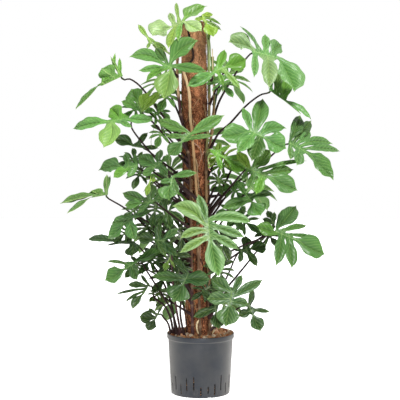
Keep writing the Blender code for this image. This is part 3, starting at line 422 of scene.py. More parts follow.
# Nodes of a stem: how far apart, and how much and how far along they swell, are grooved in the
# middle and are ringed in a lighter tone
NODE_EVERY = 0.062
NODE_SWELL = 0.20
SWELL_REACH = 0.008
GROOVE = 0.10
GROOVE_REACH = 0.0022
RING_LIGHT = 0.275
RING_REACH = 0.0035
# Stalks: the sheath at the foot, and the swelling under the blade
SHEATH_LENGTH = 0.035
SHEATH_SWELL = 1.55
HUB_LENGTH = 0.018
HUB_SWELL = 1.25
STALK_FULLNESS = 1.5
# A stalk meets its blade from below, over these two distances from it
ARRIVE_FROM = 0.013
ARRIVE_LAST = 0.005
ARRIVE_BEHIND = 0.006

# Coir: how far the core's surface goes in and out, at what scale, and how it narrows and closes
# at the top of the pole
CORE_SIDES = 72
CORE_RINGS = 230
CORE_ROUGHNESS = 0.0022
CORE_DEEPEST = 1.6
CORE_LUMPS = 42
SHOULDER = 0.022
SHOULDER_NARROWING = 0.22
CORE_TOP_RINGS = (0.82, 0.6, 0.35)
TOP_DIP = 0.003
TOP_LUMP = 0.001
# Fibres on it, and their radius from foot to tip
FIBRES = 5200
FIBRE_LENGTHS = (0.012, 0.042)
FIBRE_RADIUS = 0.00045
FIBRE_TAPER = (1, 1, 1, 0.8, 0.4)
FIBRE_LIFT = 0.0042
FIBRE_SLANT = 0.75
FIBRE_CURL = 0.5
# Light and dark tufts of fibre, as (strength, scale) of two patterns and the mean, and how much
# paler the fibres get from a height up to the top
FIBRE_TUFTS = ((3.0, 62), (1.6, 150))
FIBRE_LIGHT = 0.38
PALE_FROM = 0.94
PALE_TUFT = 0.62
PALE_ALL = 0.12

# Granules on the surface, and chips between them: radius, height over the bed, and spacing
GRANULE_RADII = (0.0062, 0.0086)
GRANULE_HEIGHTS = (0.0035, 0.0095)
GRANULE_SPACING = 0.0122
CHIP_RADII = (0.0028, 0.0042)
CHIP_HEIGHTS = (0.003, 0.0105)
CHIP_SPACING = 0.0078
GRANULE_TONES = ("clay", "clay", "brick", "brick", "biscuit", "clay", "rust", "biscuit")
GRANULE_BUMPS = ((0.16, 1.6), (0.07, 4.5))
SPOT_ATTEMPTS = 9000
CHIPS_AFTER = 5000
STEM_CLEARANCE = 0.0105
POLE_CLEARANCE = 0.0065
RIM_CLEARANCE = 0.0062
# The bed below them
BED_SIDES = 150
BED_RINGS = 60
BED_TOP_RINGS = 10
BED_TOP_STEP = 0.006
BED_GAP = 0.0006
BED_DENT = 0.0022

# Studio: the floor, and how strong the light of the surroundings is from the front and the back
FLOOR_HALF = 6.0
FLOOR_COLOUR = (0.88, 0.88, 0.88)
FLOOR_GLOW = 0.72
AMBIENT_FRONT = 0.10
AMBIENT_BACK = 0.66
# Lights as name, the way they come from, strength and angle of softness in degrees
LIGHTS = (
    ("key", (0.45, -0.75, 1.15), 3.8, 16),
    ("side", (-1.0, -0.25, 0.55), 0.7, 50),
)
# A narrow light low in front that reaches in under the leaves: place, aim, power and cone
SPOT_PLACE = (0.35, -4.0, 1.1)
SPOT_AIM = (0.0, 0.0, 0.20)
SPOT_POWER = 470
SPOT_CONE = math.radians(4.6)
SPOT_RADIUS = 0.12

# Painted light and shade by height in mm: the leaves' green is painted darker low down, in the shade
# of those above, and lighter at the top
PAINTED_LIGHT_BY_HEIGHT = ((250, 0.33), (480, 0.48), (660, 0.82), (1015, 1.00), (1200, 1.32))
# Factors of red, green and blue for the leaves above and for those below the heights in mm
LEAF_CAST = (1.0, 0.97, 0.72)
LOW_CAST = (0.86, 0.97, 0.62)
CAST_HEIGHTS = (420, 680)
# Each lobe is lighter or darker and warmer or cooler than the next by up to this
LOBE_SHADES = (0.86, 1.14)
WARMTH = 0.05
# The sheet between the rachis and a lobe takes most of the lobe's tone, and tips turn to lime
SHEET_BLEND = 0.75
TIP_LIME = 0.11
# How far out from the midrib of the rachis the leaf's tone has turned into the sheet's
MIDDLE_BLEND = 0.15

# Palette, as it shows in daylight, except where it paints light and shade: the two greyish pale
# greens
# at the start paint the sheen of glossy lobes (the first also a pale margin), the shade tone is
# darkened to paint shade, and the near black before slate paints the shade inside the pot
PALETTE = {
    "frost": 0x9CBB8C, "sheen": 0x809F74, "pale": 0x7AA05C, "lime": 0x779A3B, "fresh": 0x5C9239,
    "grass": 0x5F9556, "mid": 0x528144, "teal": 0x568550, "cool": 0x467244, "deep": 0x3A6034,
    "dark": 0x31532A, "shade": 0x24401F, "olive": 0x456B21, "moss": 0x3E6227,
    "plum": 0x2A1715, "wine": 0x4A2F30, "bark": 0x644A36, "tan": 0xA98660, "sand": 0xC9AB84,
    "cream": 0xE3CFA6, "rose": 0xB98F78, "sprout": 0xA9BC7C, "reed": 0x7A8650,
    "coir": 0x93583A, "rust": 0xB06E48, "umber": 0x38211A, "ember": 0xCC8A62, "salmon": 0xE8B588,
    "clay": 0xDDA678, "brick": 0xEDB48E, "biscuit": 0xFFEACF, "soil": 0x2A1A12, "shade_black": 0x0B0908,
    "slate": 0x20252D, "ash": 0x67635D,
}

# Tone of each leaf, and of those of its lobes that differ, by their place in the table
# Lobes in the two greyish pale greens at the palette's start are painted with sheen
TONES = {
    "crown": ("sheen", {0: "frost", 1: "lime", 2: "fresh", 3: "frost", 4: "fresh", 5: "pale"}),
    "top_right": ("lime", {1: "olive", 2: "olive"}),
    "young_left": ("pale", {}),
    "upper_left": ("grass", {2: "fresh", 3: "pale", 4: "mid", 5: "mid", 6: "deep"}),
    "upper_right": ("fresh", {2: "grass", 4: "pale"}),
    "high_right": ("grass", {1: "sheen", 3: "sheen", 4: "cool", 6: "teal"}),
    "edge_right": ("grass", {2: "moss", 3: "fresh"}),
    "middle_right": ("grass", {2: "mid", 6: "moss"}),
    "far_right": ("teal", {0: "mid", 4: "dark", 5: "deep"}),
    "inner_right": ("mid", {0: "teal", 3: "moss", 4: "lime", 7: "fresh"}),
    "under_right": ("grass", {1: "dark"}),
    "shade_right": ("cool", {}),
    "young_right": ("fresh", {}),
    "front_high": ("mid", {0: "cool", 3: "grass"}),
    "hand_left": ("fresh", {0: "mid", 2: "grass"}),
    "long_left": ("grass", {1: "fresh", 2: "pale"}),
    "round_left": ("mid", {2: "lime", 3: "lime"}),
    "dark_left": ("dark", {}),
    "teal_left": ("cool", {0: "teal", 2: "deep"}),
    "arched_left": ("teal", {1: "fresh"}),
    "front_left": ("teal", {1: "cool", 2: "mid"}),
    "bud_left": ("lime", {}),
    "broad_left": ("deep", {0: "mid"}),
    "low_left": ("cool", {}),
    "reaching_left": ("mid", {2: "fresh"}),
    "thin_left": ("cool", {2: "dark", 3: "olive"}),
    "oval_left": ("teal", {3: "dark"}),
    "shade_left": ("cool", {0: "dark", 4: "olive"}),
    "deep_left": ("dark", {}),
    "front_low": ("teal", {1: "cool", 2: "deep"}),
    "hanging_left": ("lime", {}),
    "star_left": ("deep", {}),
    "pair_left": ("dark", {}),
    "small_left": ("olive", {}),
    "front_right": ("teal", {3: "cool", 5: "mid"}),
    "lowest_right": ("deep", {}),
    "shade_low": ("dark", {}),
    "dark_right": ("dark", {1: "deep"}),
    "wide_right": ("mid", {0: "grass", 3: "cool", 4: "fresh"}),
    "behind_right": ("dark", {}),
    "pale_front": ("mid", {0: "grass", 1: "grass", 3: "grass", 5: "pale", 6: "pale", 7: "pale"}),
}
BACK_TONES = ("deep", "mid", "cool", "teal", "deep", "grass", "mid", "fresh", "grass")

# Small leaves in the shade between the others: stem, height where the stalk leaves it, hub
# (x, z, depth), compass angle and slope of the midrib, length in mm, and tone
SHADE_LEAVES = (
    ("vine_left", 880, (-100, 985, 20), (-120, -45), 95, "mid"),
    ("vine_left", 820, (-128, 918, 30), (-150, -25), 80, "grass"),
    ("vine_left", 640, (-205, 768, 20), (-160, -20), 80, "deep"),
    ("vine_left", 600, (-190, 735, 10), (-120, -50), 85, "dark"),
    ("vine_left", 520, (-142, 625, 0), (-110, -60), 90, "dark"),
    ("vine_left", 560, (-95, 700, 20), (-100, -60), 95, "dark"),
    ("vine_left", 330, (-92, 462, -60), (-125, -50), 110, "dark"),
    ("vine_left", 300, (-70, 430, -40), (-95, -60), 90, "shade"),
    ("vine_left", 420, (-66, 545, -30), (-80, -65), 100, "shade"),
    ("vine_left", 380, (-150, 450, 0), (-140, -40), 85, "deep"),
    ("vine_right", 430, (62, 520, -30), (-60, -50), 100, "dark"),
    ("vine_right", 500, (95, 600, -20), (-50, -45), 90, "mid"),
    ("vine_right", 620, (56, 705, -30), (-75, -45), 72, "moss"),
    ("vine_right", 330, (60, 420, -35), (-70, -55), 90, "deep"),
    ("vine_right", 940, (62, 1020, -10), (-50, -40), 85, "grass"),
    ("vine_back_right", 480, (120, 575, 20), (-20, -30), 95, "cool"),
    ("vine_right", 700, (50, 778, -20), (-20, -8), 100, "lime"),
    ("vine_right", 720, (56, 748, 0), (-30, -15), 74, "fresh"),
    ("vine_left", 800, (-190, 942, 20), (-160, -35), 90, "grass"),
    ("vine_left", 300, (-98, 398, -10), (-140, -40), 100, "deep"),
    ("vine_left", 500, (-200, 612, 10), (-150, -35), 75, "deep"),
    ("vine_left", 430, (-228, 536, 10), (-160, -35), 70, "deep"),
    ("vine_right", 395, (212, 528, 0), (-50, -35), 75, "dark"),
    ("vine_right", 560, (100, 675, -20), (-45, -35), 75, "grass"),
    ("vine_left", 400, (-120, 520, 0), (-135, -45), 85, "dark"),
    ("vine_left", 460, (-170, 560, 15), (-120, -50), 80, "dark"),
    ("vine_right", 250, (32, 348, -66), (-158, -30), 78, "dark"),
    ("vine_left", 760, (-122, 862, 10), (-115, -50), 76, "mid"),
    ("vine_left", 330, (-200, 425, 15), (-140, -35), 72, "deep"),
    ("vine_left", 262, (-132, 330, -10), (-130, -25), 58, "lime"),
)

# Painted light and shade of each leaf beside the others of its height and tone, where it differs:
# the small leaves deep in the low middle are painted darker, as in shade, and most of the others
# lighter
PAINTED_LIGHT_BY_LEAF = {
    "crown": 0.90, "high_right": 0.92, "hand_left": 1.12, "long_left": 1.20,
    "round_left": 1.28, "teal_left": 1.16, "arched_left": 1.22, "low_left": 1.38,
    "oval_left": 1.42, "broad_left": 1.16, "deep_left": 1.26, "pair_left": 1.22,
    "bud_left": 1.15, "far_right": 1.13, "inner_right": 1.20, "wide_right": 1.17,
    "dark_right": 1.20, "lowest_right": 1.10, "shade_right": 1.40,
    "young_right": 1.30, "hanging_left": 1.1, "small_left": 1.25,
    "shade_6": 0.75, "shade_7": 0.6, "shade_8": 0.6, "shade_9": 0.6, "shade_11": 0.6,
    "shade_12": 0.8, "shade_14": 0.6, "shade_20": 0.7, "shade_25": 0.7,
    "shade_27": 0.75, "front_low": 0.92, "front_right": 0.92,
}

# How much the side veins stand out, where it is more than on most leaves; the same value pales the
# margins,
# pale_front's in their own colour, those of the crown and high_right as painted sheen
BOLD_VEINS = {"pale_front": 1.0, "crown": 0.4, "high_right": 0.5, "front_right": 0.15}

# Colour of each stem from the granules up: (height in mm, tone)
STEM_TONES = {
    "vine_left": ((190, "wine"), (600, "bark"), (860, "plum"), (955, "wine"), (985, "sand"),
                  (1105, "tan")),
    "vine_front": ((190, "bark"), (430, "bark"), (620, "tan"), (860, "tan"), (900, "sand"),
                   (1072, "sand")),
    "vine_right": ((190, "bark"), (620, "tan"), (760, "bark"), (880, "reed"), (955, "tan"),
                   (985, "reed"), (1060, "sprout"), (1090, "sprout"), (1165, "sprout")),
    "vine_back_right": ((190, "bark"), (700, "bark"), (900, "tan"), (960, "moss"),
                        (1095, "reed")),
    "vine_back_left": ((190, "bark"), (800, "reed"), (1060, "moss")),
    "low_shoots": ((150, "bark"), (200, "wine")),
}

# Tone of the stalks that differ from the plum of the others
STALK_TONES = {"top_right": "olive", "young_left": "sprout", "young_right": "reed",
               "front_high": "reed", "pale_front": "moss", "hanging_left": "wine",
               "bud_left": "olive", "small_left": "wine"}

# Thin roots that cling to the coir between the stems: how many, and from which ranges the angle
# round the pole, the height, the length and the radius of each are drawn
CLINGING_ROOTS = 60
CLINGING_ANGLES = (-165, -15)
CLINGING_HEIGHTS = (0.21, 1.0)
CLINGING_LENGTHS = (0.03, 0.16)
CLINGING_RADII = (0.0008, 0.0019)
CLINGING_TONES = ("tan", "rose", "bark", "plum", "wine", "sand", "plum")
CLINGING_LEAN = 0.35
CLINGING_STEP = 0.006
CLINGING_WANDER = 0.006

# Curled young shoots and tendrils beside the pole: tone, radius in mm, places
CURLS = (
    ("sprout", 1.9, ((27, 748, -50), (25, 768, -52), (34, 787, -56), (46, 788, -58),
                     (52, 772, -58), (44, 754, -55), (34, 748, -52), (26, 758, -48))),
    ("rose", 2.6, ((22, 762, -44), (29, 748, -47), (26, 735, -46), (32, 726, -46))),
    ("sprout", 2.2, ((13, 1202, -30), (21, 1155, -32), (27, 1105, -30), (31, 1050, -27))),
    ("lime", 1.7, ((20, 1190, -26), (30, 1140, -24), (33, 1085, -20), (36, 1030, -16))),
    ("cream", 1.6, ((38, 1120, -6), (39, 1070, -10), (41, 1010, -10), (40, 960, -8))),
    ("tan", 1.8, ((43, 1010, -2), (44, 950, -6), (44, 900, -6), (42, 850, -6))),
    ("wine", 1.0, ((34, 742, -46), (44, 728, -50), (48, 716, -52), (60, 708, -55))),
    ("wine", 0.9, ((30, 728, -46), (38, 716, -50), (40, 704, -52))),
    ("reed", 0.9, ((-158, 800, 20), (-160, 822, 16), (-156, 846, 14), (-150, 868, 12),
                   (-143, 882, 14))),
)
STEM_ROWS = dict(STEMS)


def srgb(code):
    """Linear red, green and blue of a palette entry such as 0x4D9646."""
    parts = [(code >> shift & 255) / 255 for shift in (16, 8, 0)]
    return [part / 12.92 if part <= 0.04045 else ((part + 0.055) / 1.055) ** 2.4
            for part in parts]


COLOURS = {name: srgb(code) for name, code in PALETTE.items()}


def mixed(first, second, share):
    return [a + (b - a) * share for a, b in zip(first, second)]


def smooth(low, high, value):
    """0 up to the low value and 1 from the high one on, with a smooth rise between them."""
    share = min(1.0, max(0.0, (value - low) / (high - low)))
    return share * share * (3 - 2 * share)


def between(rows, height):
    """What two neighbouring rows say, and how far a height is on its way between them."""
    for (low, first), (high, second) in zip(rows, rows[1:]):
        if height <= high:
            return first, second, smooth(low, high, height)
    return rows[-1][1], rows[-1][1], 0.0


class Nodes:
    """Short ways to add and join nodes of a material or of the surroundings."""

    def __init__(self, tree):
        self.tree = tree

    def put(self, socket, value):
        """Links an output to a socket, or sets the socket to a number or a colour."""
        if isinstance(value, bpy.types.NodeSocket):
            self.tree.links.new(value, socket)
        elif isinstance(value, (list, tuple)):
            socket.default_value = (*value, 1.0)[:len(socket.default_value)]
        else:
            socket.default_value = value

    def node(self, kind, inputs, output=0, **settings):
        """Adds a node with these inputs and settings, and gives one of its outputs."""
        made = self.tree.nodes.new(kind)
        for key, value in settings.items():
            setattr(made, key, value)
        for key, value in inputs.items():
            self.put(made.inputs[key], value)
        return made.outputs[output]


class Skin(Nodes):
    """A Principled material, and the patterns that its colour and relief are made from."""

    def __init__(self, name, roughness, specular):
        self.made = bpy.data.materials.new(name)
        self.made.use_nodes = True
        Nodes.__init__(self, self.made.node_tree)
        self.out = self.tree.nodes["Principled BSDF"].inputs
        self.put(self.out["Roughness"], roughness)
        self.put(self.out["Specular IOR Level"], specular)
        self.place = self.node("ShaderNodeTexCoord", {}, "Object")

    def math(self, operation, first, second=0.0, third=0.0):
        return self.node("ShaderNodeMath", {0: first, 1: second, 2: third}, operation=operation)

    def span(self, value, low, high, start=0.0, end=1.0):
        """A value from low to high turned smoothly into one from start to end."""
        ends = {"Value": value, "From Min": low, "From Max": high, "To Min": start, "To Max": end}
        return self.node("ShaderNodeMapRange", ends, "Result", interpolation_type="SMOOTHSTEP")

    def mix(self, share, first, second, kind="MIX"):
        return self.node("ShaderNodeMix", {0: share, 6: first, 7: second}, 2, data_type="RGBA",
                         blend_type=kind)

    def over(self, share, most, first, second):
        """The second colour over the first, as strong as the share times the most."""
        return self.mix(self.math("MULTIPLY", share, most), first, second)

    def cast(self, colour, factors):
        """A colour with its red, green and blue multiplied."""
        return self.mix(1.0, colour, factors, "MULTIPLY")

    def noise(self, scale, detail, roughness=0.5, place=None):
        where = self.place if place is None else place
        return self.node("ShaderNodeTexNoise", {"Vector": where, "Scale": scale,
                                                "Detail": detail, "Roughness": roughness})

    def streaks(self, scale, detail, roughness):
        """Noise with a scale of its own on each axis."""
        place = self.node("ShaderNodeMapping", {"Vector": self.place, "Scale": scale})
        return self.noise(1.0, detail, roughness, place)

    def read(self, name, output="Fac"):
        return self.node("ShaderNodeAttribute", {}, output, attribute_name=name)

    def height(self):
        return self.node("ShaderNodeSeparateXYZ", {0: self.place}, "Z")

    def finish(self, colour, relief, depth, strength):
        """Puts the colour and the relief, whose depth is in metres, and gives the material."""
        bump = {"Height": relief, "Distance": depth, "Strength": strength}
        self.put(self.out["Base Color"], colour)
        self.put(self.out["Normal"], self.node("ShaderNodeBump", bump))
        return self.made


def leaf_veins(skin, reaches):
    """The midribs of rachis and lobes, each fading out at a reach, and the side veins' count."""
    rib = skin.read("rib")
    run = skin.read("run")
    ribs = [skin.span(value, RIB_HALF_WIDTH, reach, 1.0, 0.0)
            for value, reach in zip((rib, run), reaches)]
    count = skin.math("SUBTRACT", skin.math("DIVIDE", run, VEIN_SPACING),
                      skin.math("DIVIDE", rib, VEIN_SPREAD))
    return skin.math("MAXIMUM", *ribs), count


def leaf_upper():
    """Upper face: midrib and side veins lighter, the blade mottled, half glossy."""
    skin = Skin("leaf_upper", 0.38, 0.36)
    tint = skin.read("tint", "Color")
    margin = skin.read("margin")
    bold = skin.read("bold")
    main, count = leaf_veins(skin, UPPER_RIB_REACHES)
    wander = skin.math("MULTIPLY", skin.noise(60.0, 1.0), 0.35)
    ripple = skin.math("PINGPONG", skin.math("ADD", count, wander), 0.5)
    side = skin.math("MULTIPLY", skin.span(ripple, 0.03, 0.20, 1.0, 0.0),
                     skin.span(margin, 0.75, 1.0, 1.0, 0.0))
    patch = skin.span(skin.noise(26.0, 4.0, 0.6), 0.32, 0.68)
    fine = skin.span(skin.noise(420.0, 2.0), 0.3, 0.7)
    deep = skin.mix(patch, skin.mix(0.22, tint, (0.0, 0.03, 0.012)), tint)
    vein = skin.mix(0.45, skin.cast(tint, (2.2, 1.9, 1.6)), (0.40, 0.52, 0.22))
    # Margins paler, as much as the bold value: pale_front's own pale margin, and painted sheen on
    # the crown and high_right
    fringe = skin.math("MULTIPLY", skin.span(margin, 0.15, 0.95), bold)
    colour = skin.over(fine, 0.12, deep, skin.cast(deep, (1.35, 1.3, 1.15)))
    for share, most, tone in ((side, skin.math("MULTIPLY_ADD", bold, 0.30, 0.30), vein),
                              (main, 0.50, vein), (fringe, 0.42, COLOURS["frost"]),
                              (skin.span(margin, 0.93, 1.0), 0.30, vein)):
        colour = skin.over(share, most, colour, tone)
    quilt = skin.math("ADD", skin.span(ripple, 0.0, 0.42), skin.math("MULTIPLY", fine, 0.12))
    return skin.finish(colour, skin.math("SUBTRACT", quilt, main), 0.0005, 0.7)


def leaf_lower():
    """Under face: paler and duller, its midrib and veins raised."""
    skin = Skin("leaf_lower", 0.60, 0.25)
    tint = skin.read("tint", "Color")
    main, count = leaf_veins(skin, LOWER_RIB_REACHES)
    side = skin.span(skin.math("PINGPONG", count, 0.5), 0.02, 0.12, 1.0, 0.0)
    pale = skin.mix(0.42, skin.cast(tint, (1.25, 1.15, 1.2)), COLOURS["pale"])
    patch = skin.span(skin.noise(30.0, 3.0), 0.3, 0.7)
    colour = skin.mix(patch, skin.mix(0.15, pale, tint), pale)
    colour = skin.over(side, 0.18, colour, COLOURS["sprout"])
    colour = skin.over(main, 0.6, colour, COLOURS["sprout"])
    relief = skin.math("ADD", main, skin.math("MULTIPLY", side, 0.4))
    return skin.finish(colour, relief, 0.0005, 0.8)


def stem_skin():
    """Skin of stems, stalks and roots: their own tint, streaked lengthwise and speckled."""
    skin = Skin("stem_skin", 0.55, 0.22)
    tint = skin.read("tint", "Color")
    streak = skin.span(skin.streaks((420.0, 420.0, 45.0), 4.0, 0.6), 0.35, 0.65)
    speck = skin.span(skin.noise(650.0, 3.0), 0.45, 0.75)
    colour = skin.over(streak, 0.45, tint, skin.cast(tint, (0.52, 0.50, 0.48)))
    colour = skin.over(speck, 0.3, colour, skin.cast(tint, (1.5, 1.45, 1.35)))
    return skin.finish(colour, skin.math("ADD", streak, speck), 0.0004, 0.6)


def coir_skin(name, own):
    """Coir: reddish brown fibre, paler near the top of the pole, with painted shade in the gaps
    between fibres, painted glints and a share of its own tint.
    """
    skin = Skin(name, 0.95, 0.12)
    low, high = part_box("coir_pole")
    rise = skin.span(skin.height(), low.z + 0.74 * (high.z - low.z), high.z)
    fibre = skin.span(skin.streaks((240.0, 240.0, 110.0), 5.0, 0.7), 0.30, 0.70)
    clump = skin.span(skin.noise(34.0, 4.0, 0.6), 0.38, 0.62)
    grain = skin.math("MULTIPLY_ADD", skin.noise(170.0, 4.0, 0.7), 0.6,
                      skin.math("MULTIPLY", skin.noise(66.0, 4.0, 0.7), 0.4))
    # Dark pits are painted shade in the gaps between fibres; glints are painted highlights
    pits_and_shade = skin.span(grain, 0.41, 0.49, 1.0, 0.0)
    glint = skin.span(grain, 0.52, 0.58)
    blotch = skin.span(skin.noise(24.0, 3.0, 0.65), 0.49, 0.60)
    colour = skin.mix(fibre, COLOURS["umber"], COLOURS["coir"])
    for share, most, tone in ((clump, 0.70, "rust"), (pits_and_shade, 0.92, "umber"),
                              (blotch, 0.45, "umber"), (glint, 0.90, "ember"),
                              (rise, 0.56, "salmon")):
        colour = skin.over(share, most, colour, COLOURS[tone])
    colour = skin.mix(own, colour, skin.read("tint", "Color"))
    return skin.finish(colour, skin.math("ADD", fibre, clump), 0.0016, 0.9)


def granule_skin():
    """Fired clay: grainy and pitted, darker in the pits as painted shade, in the granules' own
    tints.
    """
    skin = Skin("fired_clay", 0.88, 0.2)
    tint = skin.read("tint", "Color")
    grain = skin.span(skin.noise(700.0, 4.0, 0.65), 0.3, 0.7)
    cells = skin.node("ShaderNodeTexVoronoi", {"Vector": skin.place, "Scale": 520.0}, "Distance")
    pits_and_shade = skin.span(cells, 0.05, 0.30)
    colour = skin.mix(grain, skin.cast(tint, (0.6, 0.58, 0.55)), tint)
    # Darker in the pits: painted shade
    colour = skin.over(pits_and_shade, 0.35, skin.cast(colour, (0.55, 0.5, 0.48)), colour)
    return skin.finish(colour, skin.math("ADD", grain, pits_and_shade), 0.0006, 0.8)


def pot_skin():
    """Moulded plastic: dark blue grey, finely grained, dusty and scuffed low down, and lighter
    towards its edges as seen, a painted reflection.
    """
    skin = Skin("pot_plastic_skin", 0.46, 0.38)
    slate = COLOURS["slate"]
    ash = COLOURS["ash"]
    cloud = skin.span(skin.noise(14.0, 4.0, 0.55), 0.3, 0.7)
    dust = skin.span(skin.noise(90.0, 5.0, 0.7), 0.52, 0.80)
    scuff = skin.span(skin.streaks((60.0, 60.0, 900.0), 3.0, 0.5), 0.62, 0.78)
    low = skin.span(skin.height(), 0.0, 0.09, 1.0, 0.25)
    turned = skin.node("ShaderNodeLayerWeight", {}, "Facing")
    colour = skin.mix(cloud, slate, skin.mix(0.16, slate, ash))
    colour = skin.over(dust, skin.math("MULTIPLY", low, 0.30), colour, ash)
    colour = skin.over(scuff, 0.12, colour, ash)
    # Lighter towards the edges as seen: a painted reflection of the white surroundings
    colour = skin.mix(skin.span(turned, 0.10, 0.90, 0.0, 0.71), colour, ash)
    skin.put(skin.out["Roughness"], skin.math("MULTIPLY_ADD", cloud, 0.10, 0.40))
    relief = skin.math("ADD", skin.noise(1500.0, 2.0), skin.math("MULTIPLY", cloud, 0.5))
    return skin.finish(colour, relief, 0.0002, 0.5)


def wood_skin():
    skin = Skin("stake_skin", 0.7, 0.3)
    grain = skin.span(skin.streaks((260.0, 260.0, 9.0), 4.0, 0.6), 0.3, 0.7)
    return skin.finish(skin.mix(grain, COLOURS["bark"], COLOURS["tan"]), grain, 0.0003, 0.6)


def mesh_piece(name, points, faces, paints, slots=None, fields=(), tints=None, sharp=None):
    """An object from points and faces, with materials and a colour for each point.

    A field is a name, POINT or CORNER, and a value for each point or each corner of the faces.
    """
    mesh = bpy.data.meshes.new(name)
    mesh.from_pydata([tuple(point) for point in points], [], faces)
    for paint in paints:
        mesh.materials.append(paint)
    if slots is not None:
        mesh.polygons.foreach_set("material_index", slots)
    for key, domain, row in fields:
        layer = mesh.attributes.new(key, "FLOAT", domain)
        layer.data.foreach_set("value", row)
    if tints is not None:
        layer = mesh.color_attributes.new("tint", "FLOAT_COLOR", "POINT")
        layer.data.foreach_set("color", [part for tint in tints for part in (*tint, 1.0)])
    mesh.update()
    mesh.shade_smooth()
    if sharp is not None:
        mesh.set_sharp_from_angle(angle=math.radians(sharp))
    made = bpy.data.objects.new(name, mesh)
    bpy.context.scene.collection.objects.link(made)
    return made


def dress(piece, slot, *nodes):
    """The piece rides on the one body, and stands for these nodes if there are any."""
    if nodes:
        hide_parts(*nodes)
    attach(piece, "root")
    return piece


def cut_away(target, cutters):
    """Cuts all the cutters out of the target at once, and removes them."""
    group = bpy.data.collections.new("cutters")
    bpy.context.scene.collection.children.link(group)
    for cutter in cutters:
        bpy.context.scene.collection.objects.unlink(cutter)
        group.objects.link(cutter)
    cut = target.modifiers.new("cut", "BOOLEAN")
    cut.operation = "DIFFERENCE"
    cut.operand_type = "COLLECTION"
    cut.collection = group
    cut.solver = "EXACT"
    bpy.context.view_layer.update()
    graph = bpy.context.evaluated_depsgraph_get()
    result = bpy.data.meshes.new_from_object(target.evaluated_get(graph))
    target.modifiers.clear()
    target.data = result
    for cutter in cutters:
        bpy.data.objects.remove(cutter, do_unlink=True)
    bpy.data.collections.remove(group)


def square_to(way, axis):
    """The part of a way that is square to an axis, at length 1."""
    return (way - axis * way.dot(axis)).normalized()


def round_place(radius, angle, height=0.0):
    return Vector((radius * math.cos(angle), radius * math.sin(angle), height))


def pole_x(height):
    """The pole's axis at a height: it leans a little to the left."""
    return POLE_BASE_X + (POLE_TOP_X - POLE_BASE_X) * height / POLE_TOP


def wall_radius(height):
    """Outer radius of the pot's wall below its band."""
    share = height / (POT_HEIGHT - POT_BAND_HEIGHT)
    return POT_BASE_RADIUS + (POT_TOP_RADIUS - POT_BASE_RADIUS) * share


def smooth_route(places, step):
    """Points about a step apart on a Catmull-Rom curve through the places."""
    ends = [2 * places[0] - places[1]] + list(places) + [2 * places[-1] - places[-2]]
    route = []
    for before, start, end, after in zip(ends, ends[1:], ends[2:], ends[3:]):
        count = max(1, round((end - start).length / step))
        for index in range(count):
            t = index / count
            route.append(0.5 * (2 * start + (end - before) * t
                                + (2 * before - 5 * start + 4 * end - after) * t * t
                                + (3 * start - before - 3 * end + after) * t ** 3))
    route.append(places[-1].copy())
    return route


def at_depth(x, z, depth):
    """A place of the front elevation, moved along its sight line to a depth (all in mm)."""
    flat = Vector((x, 0, z)) * MM
    return EYE + (flat - EYE) * (-EYE.y + depth * MM) / -EYE.y


def compass(angle, rise):
    """The way that looks to an angle round the compass and rises by another, in degrees."""
    turn = math.radians(angle)
    lift = math.radians(rise)
    return Vector((math.cos(lift) * math.cos(turn), math.cos(lift) * math.sin(turn),
                   math.sin(lift)))


def on_plane(x, z, hub, normal, sag):
    """Where the sight line of (x, z) meets the plane that lies a sag below the hub's plane."""
    sight = Vector((x, 0, z)) * MM - EYE
    share = (normal.dot(hub - EYE) - sag) / normal.dot(sight)
    return EYE + sight * share


def seen_share(hub, tip, normal):
    """Share of a lobe's real width that shows from EYE, since the table gives widths as seen."""
    sight = (hub - EYE).normalized()
    axis = (tip - hub).normalized()
    across = axis.cross(normal).normalized()
    seen_axis = square_to(axis, sight)
    return max(LEAST_VIEW, abs(across.dot(sight.cross(seen_axis))))


def leaf_layout(row):
    """Hub, face normal, end of the rachis and lobe tips of a leaf of the table."""
    name, hub_place, looks, lobes = row
    hub = at_depth(*hub_place)
    bends = BENDS.get(name, ())
    bends = bends + (0,) * (len(lobes) - len(bends))
    if name in EDGE_ON:
        normal = compass(*looks)
    else:
        normal = compass(looks[0] + FACE_TURN * hub.x, looks[1])
    tips = []
    for lobe, bend in zip(lobes, bends):
        x, z, wide = lobe[:3]
        if len(lobe) == 4:
            tip = at_depth(x, z, lobe[3])
        else:
            reach = math.hypot(x - hub_place[0], z - hub_place[1]) * MM
            tip = on_plane(x, z, hub, normal, SAG * reach)
        tips.append((tip, FULLNESS * wide * MM / seen_share(hub, tip, normal), bend))
    if name in EDGE_ON:
        neck = at_depth(*NECKS[name], hub_place[2])
    elif name in NECKS:
        neck = on_plane(*NECKS[name], hub, normal, 0)
    else:
        neck = hub + (tips[0][0] - hub) * RACHIS_SHARE
    return hub, normal, neck, tips


def standard_layout(place, slope, length, facing):
    """The same for a standard leaf, whose lobes follow the shares above: it faces up and a way."""
    hub = at_depth(*place)
    along = compass(*slope)
    normal = square_to(Vector((0, 0, 1)) + facing, along)
    side = normal.cross(along)
    length = length * MM
    tips = [(hub + along * length - normal * SAG * length, STANDARD_TERMINAL * length, 0)]
    for ahead, aside, wide in STANDARD_LOBES:
        for hand in (1, -1):
            flat = along * ahead + side * aside * hand
            tips.append((hub + (flat - normal * SAG * flat.length) * length, wide * length,
                         STANDARD_BEND * hand))
    return hub, normal, hub + along * length * RACHIS_SHARE, tips


def edge_at(share):
    """How far along and aside the rachis' edge is, from the back of the hub (0) to its end (1)."""
    scaled = share * (len(RACHIS_EDGE) - 1)
    index = min(int(scaled), len(RACHIS_EDGE) - 2)
    rest = scaled - index
    return [low * (1 - rest) + high * rest
            for low, high in zip(RACHIS_EDGE[index], RACHIS_EDGE[index + 1])]


